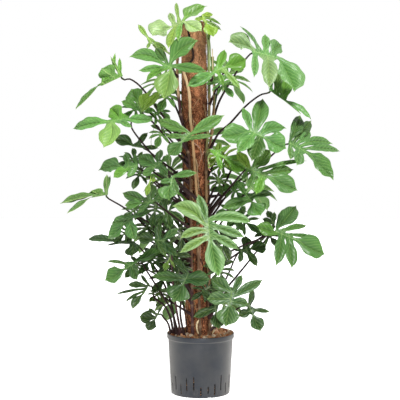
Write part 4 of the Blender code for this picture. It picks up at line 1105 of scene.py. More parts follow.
def edge_point(share, axes):
    """The place on the rachis' edge at a share, for a hub, its axes and the leaf's sizes."""
    hub, along, side, normal, rachis, length = axes
    ahead, aside = edge_at(share)
    return (hub + along * ahead * rachis + side * aside * length
            + normal * math.tan(FOLD) * aside * length)


def edge_shares(lobes):
    """Where the lobes of one hand part from each other along the rachis' edge, ending at 1."""
    if lobes < 2:
        return [1.0]
    first = max(HIND_LOBE_SHARE, 1 / lobes)
    return [first + (1 - first) * index / (lobes - 1) for index in range(lobes)]


def leaf_strips(layout):
    """Points of the rachis' middle and edge, the ring of edge corners, and the lobes round it.

    A lobe is its start and end corner, tip, width, bend and the way its upper face looks.
    """
    hub, normal, neck, tips = layout
    along = (neck - hub).normalized()
    lift = square_to(normal, along)
    side = lift.cross(along)
    rachis = (neck - hub).length
    length = rachis + (tips[0][0] - neck).length
    hands = {1: [], -1: []}
    for tip, wide, bend in tips[1:]:
        aside = (tip - hub).dot(side)
        angle = math.atan2((tip - hub).dot(along), abs(aside))
        hands[1 if aside > 0 else -1].append((angle, tip, wide, bend))
    points = [hub + along * rachis * 0.5,
              edge_point(0, (hub, along, side, lift, rachis, length))]
    edges = {}
    strips = []
    for hand in (-1, 1):
        lobes = sorted(hands[hand], key=lambda lobe: lobe[0])
        outward = half_outward(hub, along, side * hand, lobes)
        own_lift = along.cross(outward * hand)
        edge = [1]
        for share in edge_shares(len(lobes)):
            edge.append(len(points))
            points.append(edge_point(share, (hub, along, outward, own_lift, rachis, length)))
        edges[hand] = edge
        row = [(start, end, *lobe[1:], own_lift)
               for start, end, lobe in zip(edge, edge[1:], lobes)]
        if hand == -1:
            strips = row + [(edge[-1], None, *tips[0], lift)]
        else:
            strips[-1] = (strips[-1][0], edge[-1], *tips[0], lift)
            strips += [(end, start, *rest) for start, end, *rest in reversed(row)]
    return points, edges[-1] + list(reversed(edges[1][1:])), strips


def lobe_bounds(points, strips, along):
    """For each lobe the lines, or None, that halve the room between it and its neighbours."""
    axes = [(tip - (points[start] + points[end]) / 2).normalized()
            for start, end, tip, *rest in strips]
    rows = []
    for index, strip in enumerate(strips):
        bounds = []
        for other in (index - 1, (index + 1) % len(strips)):
            corner = strip[0] if other == index - 1 else strip[1]
            between = axes[index] + axes[other]
            shared = corner in strips[other][:2]
            if corner == 1 and between.dot(along) > 0:
                shared = False
            bounds.append((points[corner], between) if shared else None)
        rows.append(bounds)
    return rows


def half_outward(hub, along, side, lobes):
    """Which way one half of a blade goes from the rachis, from the mean place of its lobes."""
    outward = Vector((0, 0, 0))
    for angle, tip, *rest in lobes:
        outward += tip - hub
    outward -= along * outward.dot(along)
    if outward.length < LEAST_HALF_WIDTH:
        return side
    return outward.normalized()


def room_beside(place, outward, bound, lift):
    """How far a point can go outward before it meets the line that bounds its lobe."""
    corner, direction = bound
    direction = direction - lift * direction.dot(lift)
    if direction.length < LEAST_LINE:
        return 1.0
    wall = direction.normalized().cross(lift)
    facing = wall.dot(outward)
    if abs(facing) < LEAST_CROSSING:
        return 1.0
    return max(LEAST_HALF_WIDTH, (corner - place).dot(wall) / facing * ROOM_SHARE)


def stem_point(stem, at):
    """The middle of a stem at a height in mm, or of the crown of the low shoots at an x in mm."""
    if stem == "low_shoots":
        rows = [((x - CROWN_PATH[0][0]), Vector((x, y, z)) * MM) for x, y, z in CROWN_PATH]
        at = at - CROWN_PATH[0][0]
    else:
        rows = [(height, pole_side(height, angle, out)) for height, angle, out in STEM_ROWS[stem]]
    for (low, start), (high, end) in zip(rows, rows[1:]):
        if at <= high:
            return start.lerp(end, (at - low) / (high - low))
    return rows[-1][1]


def pole_side(height, angle, out):
    """A place beside the pole: height in mm, angle in degrees, mm out from its axis."""
    turn = math.radians(angle)
    return Vector((pole_x(height * MM) + out * MM * math.cos(turn),
                   out * MM * math.sin(turn), height * MM))


def back_leaves():
    """Names, stems, heights to leave the stem at and layouts of the leaves at the back."""
    rows = []
    for index, (place, slope, length) in enumerate(BACK_LEAVES):
        layout = standard_layout(place, slope, length, compass(slope[0], 0))
        stem = "vine_back_right" if place[0] > 0 else "vine_back_left"
        rows.append(("back_%d" % (index + 1), stem, place[1] - BACK_PETIOLE_DROP, layout))
    return rows


def shade_leaves():
    """The same for the small leaves in the shade, which face the front."""
    rows = []
    for index, (stem, height, place, slope, length, tone) in enumerate(SHADE_LEAVES):
        layout = standard_layout(place, slope, length, compass(-90, 0) * 1.2)
        rows.append(("shade_%d" % (index + 1), stem, height, layout))
    return rows


class Blade:
    """Points kept under a name each, so that neighbours share them, and faces with values."""

    def __init__(self):
        self.points = []
        self.tints = []
        self.names = {}
        self.faces = []
        self.values = []

    def put(self, name, place, tint):
        if name not in self.names:
            self.names[name] = len(self.points)
            self.points.append(place)
            self.tints.append(tint)
        return self.names[name]

    def face(self, corners, values):
        """A face, without the corners that fall on the same point."""
        kept = []
        rows = []
        for corner, row in zip(corners, values):
            if corner not in kept:
                kept.append(corner)
                rows.append(row)
        if len(kept) > 2:
            self.faces.append(tuple(kept))
            self.values.append(rows)

    def sheet(self, rows, values):
        """Faces between rows of points, each point with its distances rib, run and margin."""
        for row in range(len(rows) - 1):
            for column in range(len(COLUMNS) - 1):
                places = ((row, column), (row, column + 1), (row + 1, column + 1),
                          (row + 1, column))
                self.face([rows[r][c] for r, c in places], [values[r][c] for r, c in places])


def corner_name(corner, share_index, last_pair):
    """Name of a point on the line from the midrib of the rachis out to an edge corner."""
    if corner == 1:
        return ("back",)
    if share_index == 0 and corner in last_pair:
        return ("neck",)
    return ("line", corner, share_index)


def foot_name(key, column, pair, last_pair):
    """Name of a point on a lobe's base line, which the lobe shares with what lies behind it."""
    middle = len(HALF_COLUMNS) - 1
    corner = pair[0] if column < middle else pair[1]
    if pair == last_pair and column == middle:
        return ("neck",)
    if pair == last_pair:
        return corner_name(corner, abs(column - middle), last_pair)
    if column in (0, len(COLUMNS) - 1):
        return corner_name(corner, middle, last_pair)
    return (key, "body", middle, column)


def body_sheet(blade, key, pair, outer, inner, last_pair, tints):
    """The part of the blade between the rachis' midrib and the base line of a lobe."""
    start, end = pair
    wide = (outer[end] - outer[start]).length / 2
    reach = ((outer[start] + outer[end] - inner[start] - inner[end]) / 2).length
    rows = []
    values = []
    for share_index, share in enumerate(HALF_COLUMNS):
        row = []
        for column, across in enumerate(COLUMNS):
            along = (across + 1) / 2
            place = inner[start].lerp(inner[end], along).lerp(
                outer[start].lerp(outer[end], along), share)
            if column == 0:
                name = corner_name(start, share_index, last_pair)
            elif column == len(COLUMNS) - 1:
                name = corner_name(end, share_index, last_pair)
            else:
                name = (key, "body", share_index, column)
            blend = (1 - MIDDLE_BLEND) * share * (1 - 0.5 * abs(across))
            tint = mixed(tints[0], tints[1], MIDDLE_BLEND + blend)
            row.append(blade.put(name, place, tint))
        rows.append(row)
        values.append([(abs(across) * wide, reach * share, 0.0) for across in COLUMNS])
    blade.sheet(rows, values)
    return reach


def fine_width(share, base, wide):
    """Half width along a lobe: a narrow neck, then full and rounded, with a short point."""
    if share < LOBE_PEAK:
        rise = share / LOBE_PEAK
        neck = min(base, LOBE_NECK * wide)
        narrow = base + (neck - base) * smooth(0, NECK_END, rise)
        return narrow + (wide - narrow) * math.sin(math.pi / 2 * rise) ** LOBE_SWELL
    fall = (share - LOBE_PEAK) / (1 - LOBE_PEAK)
    return wide * (1 - fall * fall) ** LOBE_TAPER


def lobe_halves(full, share, place, across, lift, bounds):
    """Width of a lobe's two halves at a place, where its neighbours leave less than the full."""
    halves = []
    for hand, bound in zip((-1, 1), bounds):
        room = full
        if bound is not None and share > 0:
            room = min(full, room_beside(place, across * hand, bound, lift))
        room += (full - room) * smooth(OVERLAP_FROM, OVERLAP_TO, share)
        halves.append(room * (1 - TIP_POINT * smooth(TIP_FROM, 1, share)))
    return halves


def fine_lobe(blade, key, strip, bounds, points, last_pair, neck, first_run, draw, tints):
    """One lobe as a grid: folded along its midrib, its halves full and its margins waved."""
    start, end, tip, wide, bend, lift = strip
    root = (points[start] + points[end]) / 2
    axis = tip - root
    reach = axis.length
    axis.normalize()
    base = (points[end] - points[start]) / 2
    base_way = base.normalized()
    over = square_to(lift, axis)
    left = over.cross(axis)
    turn = 1 if left.dot(base) > 0 else -1
    stagger = ARCH_STAGGER if key % 2 else -ARCH_STAGGER
    roll = draw.uniform(-MOST_ROLL, MOST_ROLL)
    beat = draw.uniform(*WAVE_BEATS) * (1 + reach / WAVE_LENGTH)
    phases = (draw.uniform(0, math.tau), draw.uniform(0, math.tau))
    rows = []
    values = []
    for step in range(LOBE_ROWS):
        share = step / LOBE_ROWS
        share *= 1 + ROW_DRIFT - ROW_DRIFT * share
        bow = reach * 4 * share * (1 - share)
        rise = (ARCH + stagger) * bow
        flat = root + axis * reach * share + left * bend * bow
        heading = (axis + left * bend * 4 * (1 - 2 * share)).normalized()
        across = over.cross(heading) * turn
        way = base_way.lerp(across, smooth(0, SETTLE_IN, share)).normalized()
        full = fine_width(share, base.length, wide / 2)
        halves = lobe_halves(full, share, flat, across, lift, bounds)
        fade = smooth(0, RELIEF_IN, share)
        folded = smooth(0, FOLD_IN, share)
        row = []
        marks = []
        for column, across_share in enumerate(COLUMNS):
            side = 0 if across_share < 0 else 1
            out = abs(across_share)
            half = halves[side]
            edge_turn = phases[side] * 2 + beat * EDGE_BEAT * share * math.tau
            notch = 1 + EDGE_WAVE * fade * math.sin(edge_turn)
            wave = math.sin(phases[side] + beat * share * math.tau)
            height = (FINE_FOLD * half * (out - 1) * folded
                      + CHANNEL * half * (out - CHANNEL_LEVEL) * fade
                      + CROWNING * half * math.sin(math.pi * out) * fade
                      - MARGIN_DROP * half * out ** 4 * fade
                      + WAVE * wide * wave * out * out * fade
                      + math.tan(roll) * across_share * half * fade)
            place = flat + way * across_share * half * notch + over * (rise + height)
            name = (key, "lobe", step, column) if step else foot_name(
                key, column, (start, end), last_pair)
            if step == 0 and (start, end) == last_pair:
                place = neck.lerp(points[start if across_share < 0 else end], out)
            row.append(blade.put(name, place, mixed(tints[1], tints[2], share)))
            marks.append((out * half, first_run + share * reach, out))
        rows.append(row)
        values.append(marks)
    blade.sheet(rows, values)
    peak = blade.put((key, "tip"), tip, tints[2])
    for column in range(len(COLUMNS) - 1):
        blade.face([rows[-1][column], rows[-1][column + 1], peak],
                   [values[-1][column], values[-1][column + 1], (0.0, first_run + reach, 0.5)])


def close_blade(blade):
    """Upper and under faces and the thin margin between them, with the values of each corner."""
    points = blade.points
    normals = [Vector((0, 0, 0)) for _ in points]
    borders = {}
    for face in blade.faces:
        first = points[face[0]]
        turn = Vector((0, 0, 0))
        for second, third in zip(face[1:], face[2:]):
            turn += (points[second] - first).cross(points[third] - first)
        for corner in face:
            normals[corner] += turn
        for start, end in zip(face, face[1:] + face[:1]):
            if (end, start) in borders:
                del borders[(end, start)]
            else:
                borders[(start, end)] = True
    rim = {corner for pair in borders for corner in pair}
    count = len(points)
    lower = []
    upper = []
    for index, (place, normal) in enumerate(zip(points, normals)):
        half = (MARGIN_THICKNESS if index in rim else BLADE) / 2
        step = normal.normalized() * half
        lower.append(place + step)
        upper.append(place - step)
    faces = list(blade.faces)
    values = list(blade.values)
    slots = [1] * len(faces)
    faces += [tuple(corner + count for corner in reversed(face)) for face in blade.faces]
    values += [list(reversed(rows)) for rows in blade.values]
    slots += [0] * len(blade.faces)
    for start, end in borders:
        faces.append((start, start + count, end + count, end))
        values.append([(1.0, 1.0, 1.0)] * 4)
        slots.append(1)
    return lower + upper, faces, values, slots


def painted_leaf_light(name, height):
    """How light a leaf is painted, from its height in mm and its own factor: painted light and
    shade.
    """
    first, second, share = between(PAINTED_LIGHT_BY_HEIGHT, height)
    return (first + (second - first) * share) * PAINTED_LIGHT_BY_LEAF.get(name, 1.0)


def build_blade(name, layout, tone, own_tones, *nodes):
    """A leaf's blade, finer than the solid and on the same outline."""
    draw = random.Random(name)
    hub, normal, neck, tips = layout
    points, ring, strips = leaf_strips(layout)
    along = (neck - hub).normalized()
    rachis = (neck - hub).length
    outer = {corner: points[corner] for corner in ring}
    inner = {corner: hub + along * max((points[corner] - hub).dot(along),
                                       RACHIS_EDGE[0][0] * rachis) for corner in ring}
    terminal = next(strip for strip in strips if strip[2] is tips[0][0])
    last_pair = terminal[:2]
    order = {id(row[0]): place for place, row in enumerate(tips)}
    # Painted light and shade: darker low down and deep in the foliage, lighter at the top
    depth = painted_leaf_light(name, hub.z / MM)
    casts = mixed(LOW_CAST, LEAF_CAST, smooth(*CAST_HEIGHTS, hub.z / MM))
    leaf_tint = [part * depth * cast for part, cast in zip(COLOURS[tone], casts)]
    blade = Blade()
    rows = lobe_bounds(points, strips, along)
    with_lobe = {strip[:2] for strip in strips}
    for key, pair in enumerate(zip(ring, ring[1:] + ring[:1])):
        if pair not in with_lobe:
            body_sheet(blade, ("bare", key), pair, outer, inner, last_pair,
                       (leaf_tint, leaf_tint))
    for key, (strip, bounds) in enumerate(zip(strips, rows)):
        lobe_tint = COLOURS[own_tones.get(order[id(strip[2])], tone)]
        shift = draw.uniform(*LOBE_SHADES) * depth
        warm = draw.uniform(-WARMTH, WARMTH)
        shifts = (shift + warm, shift, shift - warm)
        lobe_tint = [part * cast * own for part, cast, own in zip(lobe_tint, casts, shifts)]
        tints = (leaf_tint, mixed(leaf_tint, lobe_tint, SHEET_BLEND),
                 mixed(lobe_tint, COLOURS["lime"], TIP_LIME))
        if strip[:2] == last_pair:
            first_run = TERMINAL_RUN
        else:
            first_run = body_sheet(blade, key, strip[:2], outer, inner, last_pair, tints)
        fine_lobe(blade, key, strip, bounds, points, last_pair, neck, first_run, draw, tints)
    places, faces, values, slots = close_blade(blade)
    corners = [row for rows in values for row in rows]
    fields = [(key, "CORNER", [row[place] for row in corners])
              for place, key in enumerate(("rib", "run", "margin"))]
    fields.append(("bold", "POINT", [BOLD_VEINS.get(name, 0.0)] * len(places)))
    piece = mesh_piece("blade_" + name, places, faces, LEAF_PAINTS, slots, fields,
                       blade.tints + blade.tints, 60)
    dress(piece, "leaf", *nodes)


class Tubes:
    """Tubes gathered into one mesh, with a colour for each point."""

    def __init__(self):
        self.points = []
        self.faces = []
        self.tints = []

    def add(self, route, radii, tints, sides):
        """A closed tube along a route whose frame never twists."""
        tangents = []
        for index in range(len(route)):
            before = route[max(index - 1, 0)]
            after = route[min(index + 1, len(route) - 1)]
            tangents.append((after - before).normalized())
        side = tangents[0].orthogonal().normalized()
        first = len(self.points)
        for place, tangent, radius, tint in zip(route, tangents, radii, tints):
            side = square_to(side, tangent)
            across = tangent.cross(side)
            for step in range(sides):
                angle = math.tau * step / sides
                self.points.append(place + (side * math.cos(angle)
                                            + across * math.sin(angle)) * radius)
                self.tints.append(tint)
        self.close(first, sides)

    def close(self, first, sides):
        """Faces between the rings of points from the first on, and at both ends."""
        last = len(self.points) - sides
        self.faces.append(tuple(reversed(range(first, first + sides))))
        for low in range(first, last):
            nearby = low + 1 if (low + 1 - first) % sides else low + 1 - sides
            self.faces.append((low, nearby, nearby + sides, low + sides))
        self.faces.append(tuple(range(last, last + sides)))

    def piece(self, name, paint):
        return mesh_piece(name, self.points, self.faces, [paint], tints=self.tints, sharp=50)


def lengths_along(route):
    """Distance of each point of a route from its start."""
    lengths = [0.0]
    for before, after in zip(route, route[1:]):
        lengths.append(lengths[-1] + (after - before).length)
    return lengths


def stem_tone(stem, height):
    first, second, share = between(STEM_TONES[stem], height)
    return mixed(COLOURS[first], COLOURS[second], share)


def add_stem(tubes, stem, draw):
    """A stem with swollen, ringed nodes, its colour changing with height."""
    if stem == "low_shoots":
        route = smooth_route([Vector(place) * MM for place in CROWN_PATH], 0.004)
        radius = CROWN_RADIUS
    else:
        route = smooth_route([pole_side(*row) for row in STEM_ROWS[stem]], 0.0045)
        radius = STEM_RADIUS
    radii = []
    tints = []
    offset = draw.uniform(0, NODE_EVERY)
    for place, length in zip(route, lengths_along(route)):
        near = (length + offset) % NODE_EVERY
        near = min(near, NODE_EVERY - near)
        swell = NODE_SWELL * math.exp(-(near / SWELL_REACH) ** 2)
        groove = GROOVE * math.exp(-(near / GROOVE_REACH) ** 2)
        rough = 0.06 * noise.noise(place * 60)
        radii.append(radius * (0.94 + swell - groove + rough))
        ring = RING_LIGHT * math.exp(-(near / RING_REACH) ** 2)
        tints.append(mixed(stem_tone(stem, place.z * 1000), COLOURS["sand"], ring))
    tubes.add(route, radii, tints, STEM_FINE_SIDES)


def add_stalk(tubes, name, stem, at, places, layout):
    """A leaf stalk: sheathed at its foot, slender, thicker again where it meets the blade."""
    hub, normal, neck, tips = layout
    along = (neck - hub).normalized()
    lift = square_to(normal, along)
    seat = hub + along * PETIOLE_SEAT - lift * (BLADE / 2 + STALK_GAP)
    stop = [at_depth(*place) for place in places]
    arrive = [seat - lift * ARRIVE_FROM - along * ARRIVE_BEHIND, seat - lift * ARRIVE_LAST]
    route = smooth_route([stem_point(stem, at)] + stop + arrive, STALK_STEP) + [seat]
    lengths = lengths_along(route)
    whole = lengths[-1]
    own = COLOURS[STALK_TONES.get(name, "plum")]
    radii = []
    tints = []
    for place, length in zip(route, lengths):
        share = length / whole
        radius = PETIOLE_FOOT_RADIUS + (PETIOLE_TIP_RADIUS - PETIOLE_FOOT_RADIUS) * share
        foot = 1 - smooth(0, SHEATH_LENGTH, length)
        head = smooth(0, HUB_LENGTH, length - whole + HUB_LENGTH)
        radius *= STALK_FULLNESS
        radii.append(radius * (1 + (SHEATH_SWELL - 1) * foot + (HUB_SWELL - 1) * head)
                     * (1 + 0.05 * noise.noise(place * 90)))
        tint = mixed(own, COLOURS["wine"], 0.5 * foot)
        tints.append(mixed(tint, COLOURS["olive"], 0.45 * head))
    tubes.add(route, radii, tints, STALK_SIDES)


def add_root(tubes, stem, height, tone, thick, stain, places):
    """An aerial root: it leaves the stem, wanders a little and tapers."""
    start = stem_point(stem, height)
    route = smooth_route([start] + [at_depth(*place) for place in places], ROOT_STEP)
    radii = []
    tints = []
    for index, place in enumerate(route):
        taper = 1 - 0.42 * index / (len(route) - 1)
        radii.append(thick * MM * taper * (1 + 0.12 * noise.noise(place * 200)))
        dark = stain * (1 + noise.noise(place * 130))
        tints.append(mixed(COLOURS[tone], COLOURS["bark"], dark))
    tubes.add(route, radii, tints, STALK_SIDES)


def add_clinging_root(tubes, draw):
    """A thin root that runs down the coir, wandering to either side."""
    angle = math.radians(draw.uniform(*CLINGING_ANGLES))
    height = draw.uniform(*CLINGING_HEIGHTS)
    length = min(draw.uniform(*CLINGING_LENGTHS), height - CLAY_TOP - 0.005)
    thick = draw.uniform(*CLINGING_RADII)
    tone = COLOURS[draw.choice(CLINGING_TONES)]
    lean = draw.gauss(0, CLINGING_LEAN)
    steps = max(4, int(length / CLINGING_STEP))
    route = []
    radii = []
    for step in range(steps + 1):
        share = step / steps
        wander = noise.noise(Vector((angle * 9, height * 30, share * length * 45)))
        turn = angle + (lean * share * length + CLINGING_WANDER * wander) / POLE_RADIUS
        place, outward = core_place(turn, height - share * length)
        route.append(place + outward * (thick * 0.7 + 0.0025 * (1 - share) ** 3))
        radii.append(thick * (1 - 0.5 * share))
    tubes.add(route, radii, [tone] * len(route), 6)


def build_stems(layouts):
    paint = stem_skin()
    draw = random.Random(SEED + 5)
    tubes = {stem: Tubes() for stem in list(STEM_ROWS) + ["low_shoots"]}
    for stem in tubes:
        add_stem(tubes[stem], stem, draw)
    for name, stem, at, places in PETIOLES:
        add_stalk(tubes[stem], name, stem, at, places, layouts[name])
    for name, stem, height, layout in back_leaves() + shade_leaves():
        add_stalk(tubes[stem], name, stem, height, (), layout)
    for row in ROOTS:
        add_root(tubes[row[0]], *row)
    for tone, thick, places in CURLS:
        stem = "vine_left" if places[0][0] < 0 else "vine_front"
        route = smooth_route([at_depth(*place) for place in places], ROOT_STEP)
        last = len(route) - 1
        radii = [thick * MM * (1 - 0.5 * index / last) for index in range(last + 1)]
        tubes[stem].add(route, radii, [COLOURS[tone]] * len(route), STALK_SIDES)
    for _ in range(CLINGING_ROOTS):
        add_clinging_root(tubes["vine_front"], draw)
    for stem, made in tubes.items():
        dress(made.piece("stalks_" + stem, paint), "stem", stem)


def core_place(angle, height):
    """A place on the surface of the coir, and the way outwards there."""
    outward = round_place(1, angle)
    spot = Vector((outward.x * POLE_RADIUS, outward.y * POLE_RADIUS, height))
    lump = noise.fractal(spot * CORE_LUMPS, 1.0, 2.0, 4)
    depth = (0.5 + 0.9 * lump) * CORE_ROUGHNESS
    near_top = max(0.0, (height - (POLE_TOP - SHOULDER)) / SHOULDER)
    narrowed = 1 - SHOULDER_NARROWING * near_top ** 2
    radius = (POLE_RADIUS - min(CORE_ROUGHNESS * CORE_DEEPEST, max(0.0, depth))) * narrowed
    return outward * radius + Vector((pole_x(height), 0, height)), outward


def build_core():
    """The coir sleeve without its loose fibres; its top dips a little between rings."""
    core = Tubes()
    low = POLE_FOOT + 0.001
    high = POLE_TOP - 0.004
    angles = [math.tau * step / CORE_SIDES for step in range(CORE_SIDES)]
    for ring in range(CORE_RINGS + 1):
        height = low + (high - low) * ring / CORE_RINGS
        core.points += [core_place(angle, height)[0] for angle in angles]
    edges = core.points[-CORE_SIDES:]
    top = POLE_TOP - 0.001
    middle = Vector((pole_x(POLE_TOP), 0, top))
    for share in CORE_TOP_RINGS:
        for edge in edges:
            spot = middle.lerp(edge, share)
            spot.z = top - TOP_DIP * share * share - TOP_LUMP * abs(noise.noise(spot * 150))
            core.points.append(spot)
    core.close(0, CORE_SIDES)
    core.tints = [COLOURS["coir"]] * len(core.points)
    dress(core.piece("coir_core", coir_skin("coir_core_skin", 0.0)), "coir", "coir_pole")


def build_fibres():
    """Loose fibres on the coir, bent round the sleeve and lifted off it, in light and dark tufts."""
    draw = random.Random(SEED + 2)
    fibres = Tubes()
    for _ in range(FIBRES):
        height = draw.uniform(CLAY_TOP + 0.002, POLE_TOP - 0.008)
        angle = draw.uniform(0, math.tau)
        length = draw.uniform(*FIBRE_LENGTHS)
        slant = draw.gauss(0, FIBRE_SLANT)
        lifted = draw.uniform(0.15, 1.0) ** 2 * FIBRE_LIFT
        curl = draw.uniform(-FIBRE_CURL, FIBRE_CURL)
        route = []
        for step in range(5):
            share = step / 4
            up = height + length * (share - 0.5) * math.cos(slant + curl * (share - 0.5))
            up = min(POLE_TOP - 0.0015, max(CLAY_TOP, up))
            turn = angle + length * (share - 0.5) * math.sin(slant + curl * share) / POLE_RADIUS
            place, outward = core_place(turn, up)
            lift = lifted * (0.25 + math.sin(math.pi * (0.25 + share * 0.75)))
            route.append(place + outward * lift)
        tuft = sum(most * noise.noise(route[2] * scale) for most, scale in FIBRE_TUFTS)
        tuft = min(1.0, max(0.0, FIBRE_LIGHT + tuft + draw.uniform(-0.2, 0.2)))
        tone = mixed(COLOURS["umber"], COLOURS["ember"], tuft)
        rise = smooth(PALE_FROM, POLE_TOP, height)
        tone = mixed(tone, COLOURS["salmon"], PALE_TUFT * rise * tuft + PALE_ALL * rise)
        thick = FIBRE_RADIUS * draw.uniform(0.6, 1.25)
        fibres.add(route, [thick * part for part in FIBRE_TAPER], [tone] * 5, 3)
    dress(fibres.piece("coir_fibres", coir_skin("coir_fibre_skin", 0.8)), "coir", "coir_pole")


def lumps(places, name, paint, detail, draw):
    """Granules at (centre, radius) places, each an uneven ball with a tint of its own."""
    ball = bmesh.new()
    bmesh.ops.create_icosphere(ball, subdivisions=detail, radius=1.0)
    shape = [vert.co.copy() for vert in ball.verts]
    sides = [tuple(vert.index for vert in face.verts) for face in ball.faces]
    ball.free()
    points = []
    faces = []
    tints = []
    for centre, radius in places:
        first = len(points)
        shift = Vector([draw.uniform(-50, 50) for _ in range(3)])
        flat = Vector((1, draw.uniform(0.72, 1.0), draw.uniform(0.62, 0.9)))
        turn = Matrix.Rotation(draw.uniform(0, math.tau), 3, Vector(
            [draw.gauss(0, 1) for _ in range(3)]).normalized())
        tone = draw.choice(GRANULE_TONES)
        tint = mixed(COLOURS[tone], COLOURS["soil"], draw.uniform(0, 0.45))
        for corner in shape:
            bump = 1
            for most, scale in GRANULE_BUMPS:
                bump += most * noise.noise(corner * scale + shift)
            points.append(centre + turn @ (corner * flat) * radius * bump)
            tints.append(tint)
        faces += [tuple(first + corner for corner in side) for side in sides]
    return mesh_piece(name, points, faces, [paint], tints=tints)


def granule_spots(draw):
    """Where granules lie on the surface, and smaller chips in the gaps that they leave."""
    feet = [stem_point(stem, CLAY_TOP / MM) for stem in STEM_ROWS]
    feet += [Vector(place) * MM for place in CROWN_PATH]
    feet = [Vector((foot.x, foot.y, 0)) for foot in feet]
    axis = Vector((pole_x(CLAY_TOP), 0, 0))
    most = POT_RIM_RADIUS - POT_WALL - RIM_CLEARANCE
    granules = []
    chips = []
    for attempt in range(SPOT_ATTEMPTS):
        angle = draw.uniform(0, math.tau)
        spot = round_place(math.sqrt(draw.uniform((POLE_RADIUS + 0.005) ** 2, most ** 2)), angle)
        clear = all((spot - foot).length > STEM_CLEARANCE for foot in feet)
        if not clear or (spot - axis).length < POLE_RADIUS + POLE_CLEARANCE:
            continue
        if all((spot - other).length > GRANULE_SPACING for other in granules):
            granules.append(spot)
        elif attempt > CHIPS_AFTER and all((spot - other).length > CHIP_SPACING
                                           for other in granules + chips):
            chips.append(spot)
    return granules, chips


def build_granules():
    draw = random.Random(SEED + 3)
    paint = granule_skin()
    granules, chips = granule_spots(draw)
    top = []
    for spots, radii, heights in ((granules, GRANULE_RADII, GRANULE_HEIGHTS),
                                  (chips, CHIP_RADII, CHIP_HEIGHTS)):
        for spot in spots:
            radius = draw.uniform(*radii)
            height = CLAY_TOP + draw.uniform(*heights)
            top.append((spot + Vector((0, 0, height)), radius))
    dress(lumps(top, "granules_top", paint, 3, draw), "clay", "clay_granules")
    build_bed(paint)


def build_bed(paint):
    """The granules below the top ones: one dented body just inside the pot's wall, near black as
    painted shade inside the pot, with specks of clay.
    """
    bed = Tubes()
    inset = POT_WALL + BED_GAP
    low = POT_FLOOR + 0.001
    tall = POT_HEIGHT - POT_BAND_HEIGHT - POT_FLOOR - 0.002
    heights = [low + tall * ring / BED_RINGS for ring in range(BED_RINGS + 1)]
    rows = [(wall_radius(height) - inset, height) for height in heights]
    rows += [(POT_TOP_RADIUS - inset - BED_TOP_STEP * ring, CLAY_TOP - 0.001)
             for ring in range(BED_TOP_RINGS)]
    for row, (radius, height) in enumerate(rows):
        for step in range(BED_SIDES):
            angle = math.tau * step / BED_SIDES
            spot = round_place(radius, angle, height)
            dent = BED_DENT * abs(noise.noise(spot * 120))
            if row <= BED_RINGS:
                spot -= round_place(1, angle) * dent
            else:
                spot.z -= dent
            speck = smooth(0.10, 0.45, noise.noise(spot * 210))
            bed.points.append(spot)
            # Near black, the painted shade inside the pot, flecked with the clay's own colour
            bed.tints.append(mixed(COLOURS["shade_black"], COLOURS["clay"], 0.8 * speck))
    bed.close(0, BED_SIDES)
    dress(bed.piece("granules_bed", paint), "clay", "clay_granules")


def slot_cutter(name, low, high, wide, deep, turn, ragged):
    """An upright bar with round ends, from inside the pot's wall to outside it."""
    radius = wide / 2
    outline = []
    for middle, start in ((high - radius, 0), (low + radius, math.pi)):
        for step in range(9):
            angle = start + math.pi * step / 8
            outline.append((radius * math.cos(angle), middle + radius * math.sin(angle)))
    bar = Tubes()
    rotate = Matrix.Rotation(turn, 3, "Z")
    for out in (POT_BASE_RADIUS - deep, POT_BASE_RADIUS + deep):
        for across, height in outline:
            jut = ragged * noise.noise(Vector((turn * 7, height * 260, across * 900)))
            bar.points.append(rotate @ Vector((out, across + jut, height)))
    bar.close(0, len(outline))
    return mesh_piece(name, bar.points, bar.faces, [])


def turned_faces(rings):
    """Faces between rings of points, where a ring of one point closes the form."""
    faces = []
    for lower, upper in zip(rings, rings[1:]):
        for step in range(POT_FINE_SIDES):
            after = (step + 1) % POT_FINE_SIDES
            if len(lower) == 1:
                faces.append((lower[0], upper[after], upper[step]))
            elif len(upper) == 1:
                faces.append((lower[step], lower[after], upper[0]))
            else:
                faces.append((lower[step], lower[after], upper[after], upper[step]))
    return faces


def build_pot():
    """The pot with its rolled rim, rounded slots and notches under the edge."""
    band = POT_HEIGHT - POT_BAND_HEIGHT
    wall = [height * MM for height in range(4, 176, 4)]
    inner_wall = [height * MM for height in range(170, 8, -20)] + [POT_FLOOR]
    rows = [(radius * MM, height * MM) for radius, height in FOOT_OUTLINE]
    rows += [(wall_radius(height), height) for height in wall]
    rows += [(POT_RIM_RADIUS + out * MM, band + up * MM) for out, up in RIM_OUTLINE]
    rows += [(wall_radius(height) - POT_WALL, height) for height in inner_wall]
    rows.append((0.0, POT_FLOOR))
    points = []
    rings = []
    for radius, height in rows:
        count = POT_FINE_SIDES if radius > 0 else 1
        rings.append(range(len(points), len(points) + count))
        points += [round_place(radius, math.tau * step / POT_FINE_SIDES, height)
                   for step in range(count)]
    pot = mesh_piece("culture_pot", points, turned_faces(rings), [pot_skin()])
    cutters = []
    count = 2 * len(SLOT_HEIGHTS)
    for index in range(count):
        low, high = SLOT_HEIGHTS[index % len(SLOT_HEIGHTS)]
        turn = SLOT_FIRST_ANGLE + math.tau * index / count
        cutters.append(slot_cutter("slot", low * MM, high * MM, SLOT_WIDTH, SLOT_REACH, turn,
                                   SLOT_RAGGED))
    for index in range(NOTCH_COUNT):
        turn = NOTCH_FIRST_ANGLE + math.tau * index / NOTCH_COUNT
        cutters.append(slot_cutter("notch", NOTCH_FOOT, NOTCH_HEIGHT, NOTCH_WIDTH, NOTCH_REACH,
                                   turn, 0))
    cut_away(pot, cutters)
    pot.data.shade_smooth()
    pot.data.set_sharp_from_angle(angle=POT_SHARP)
    dress(pot, "pot_plastic", "pot")


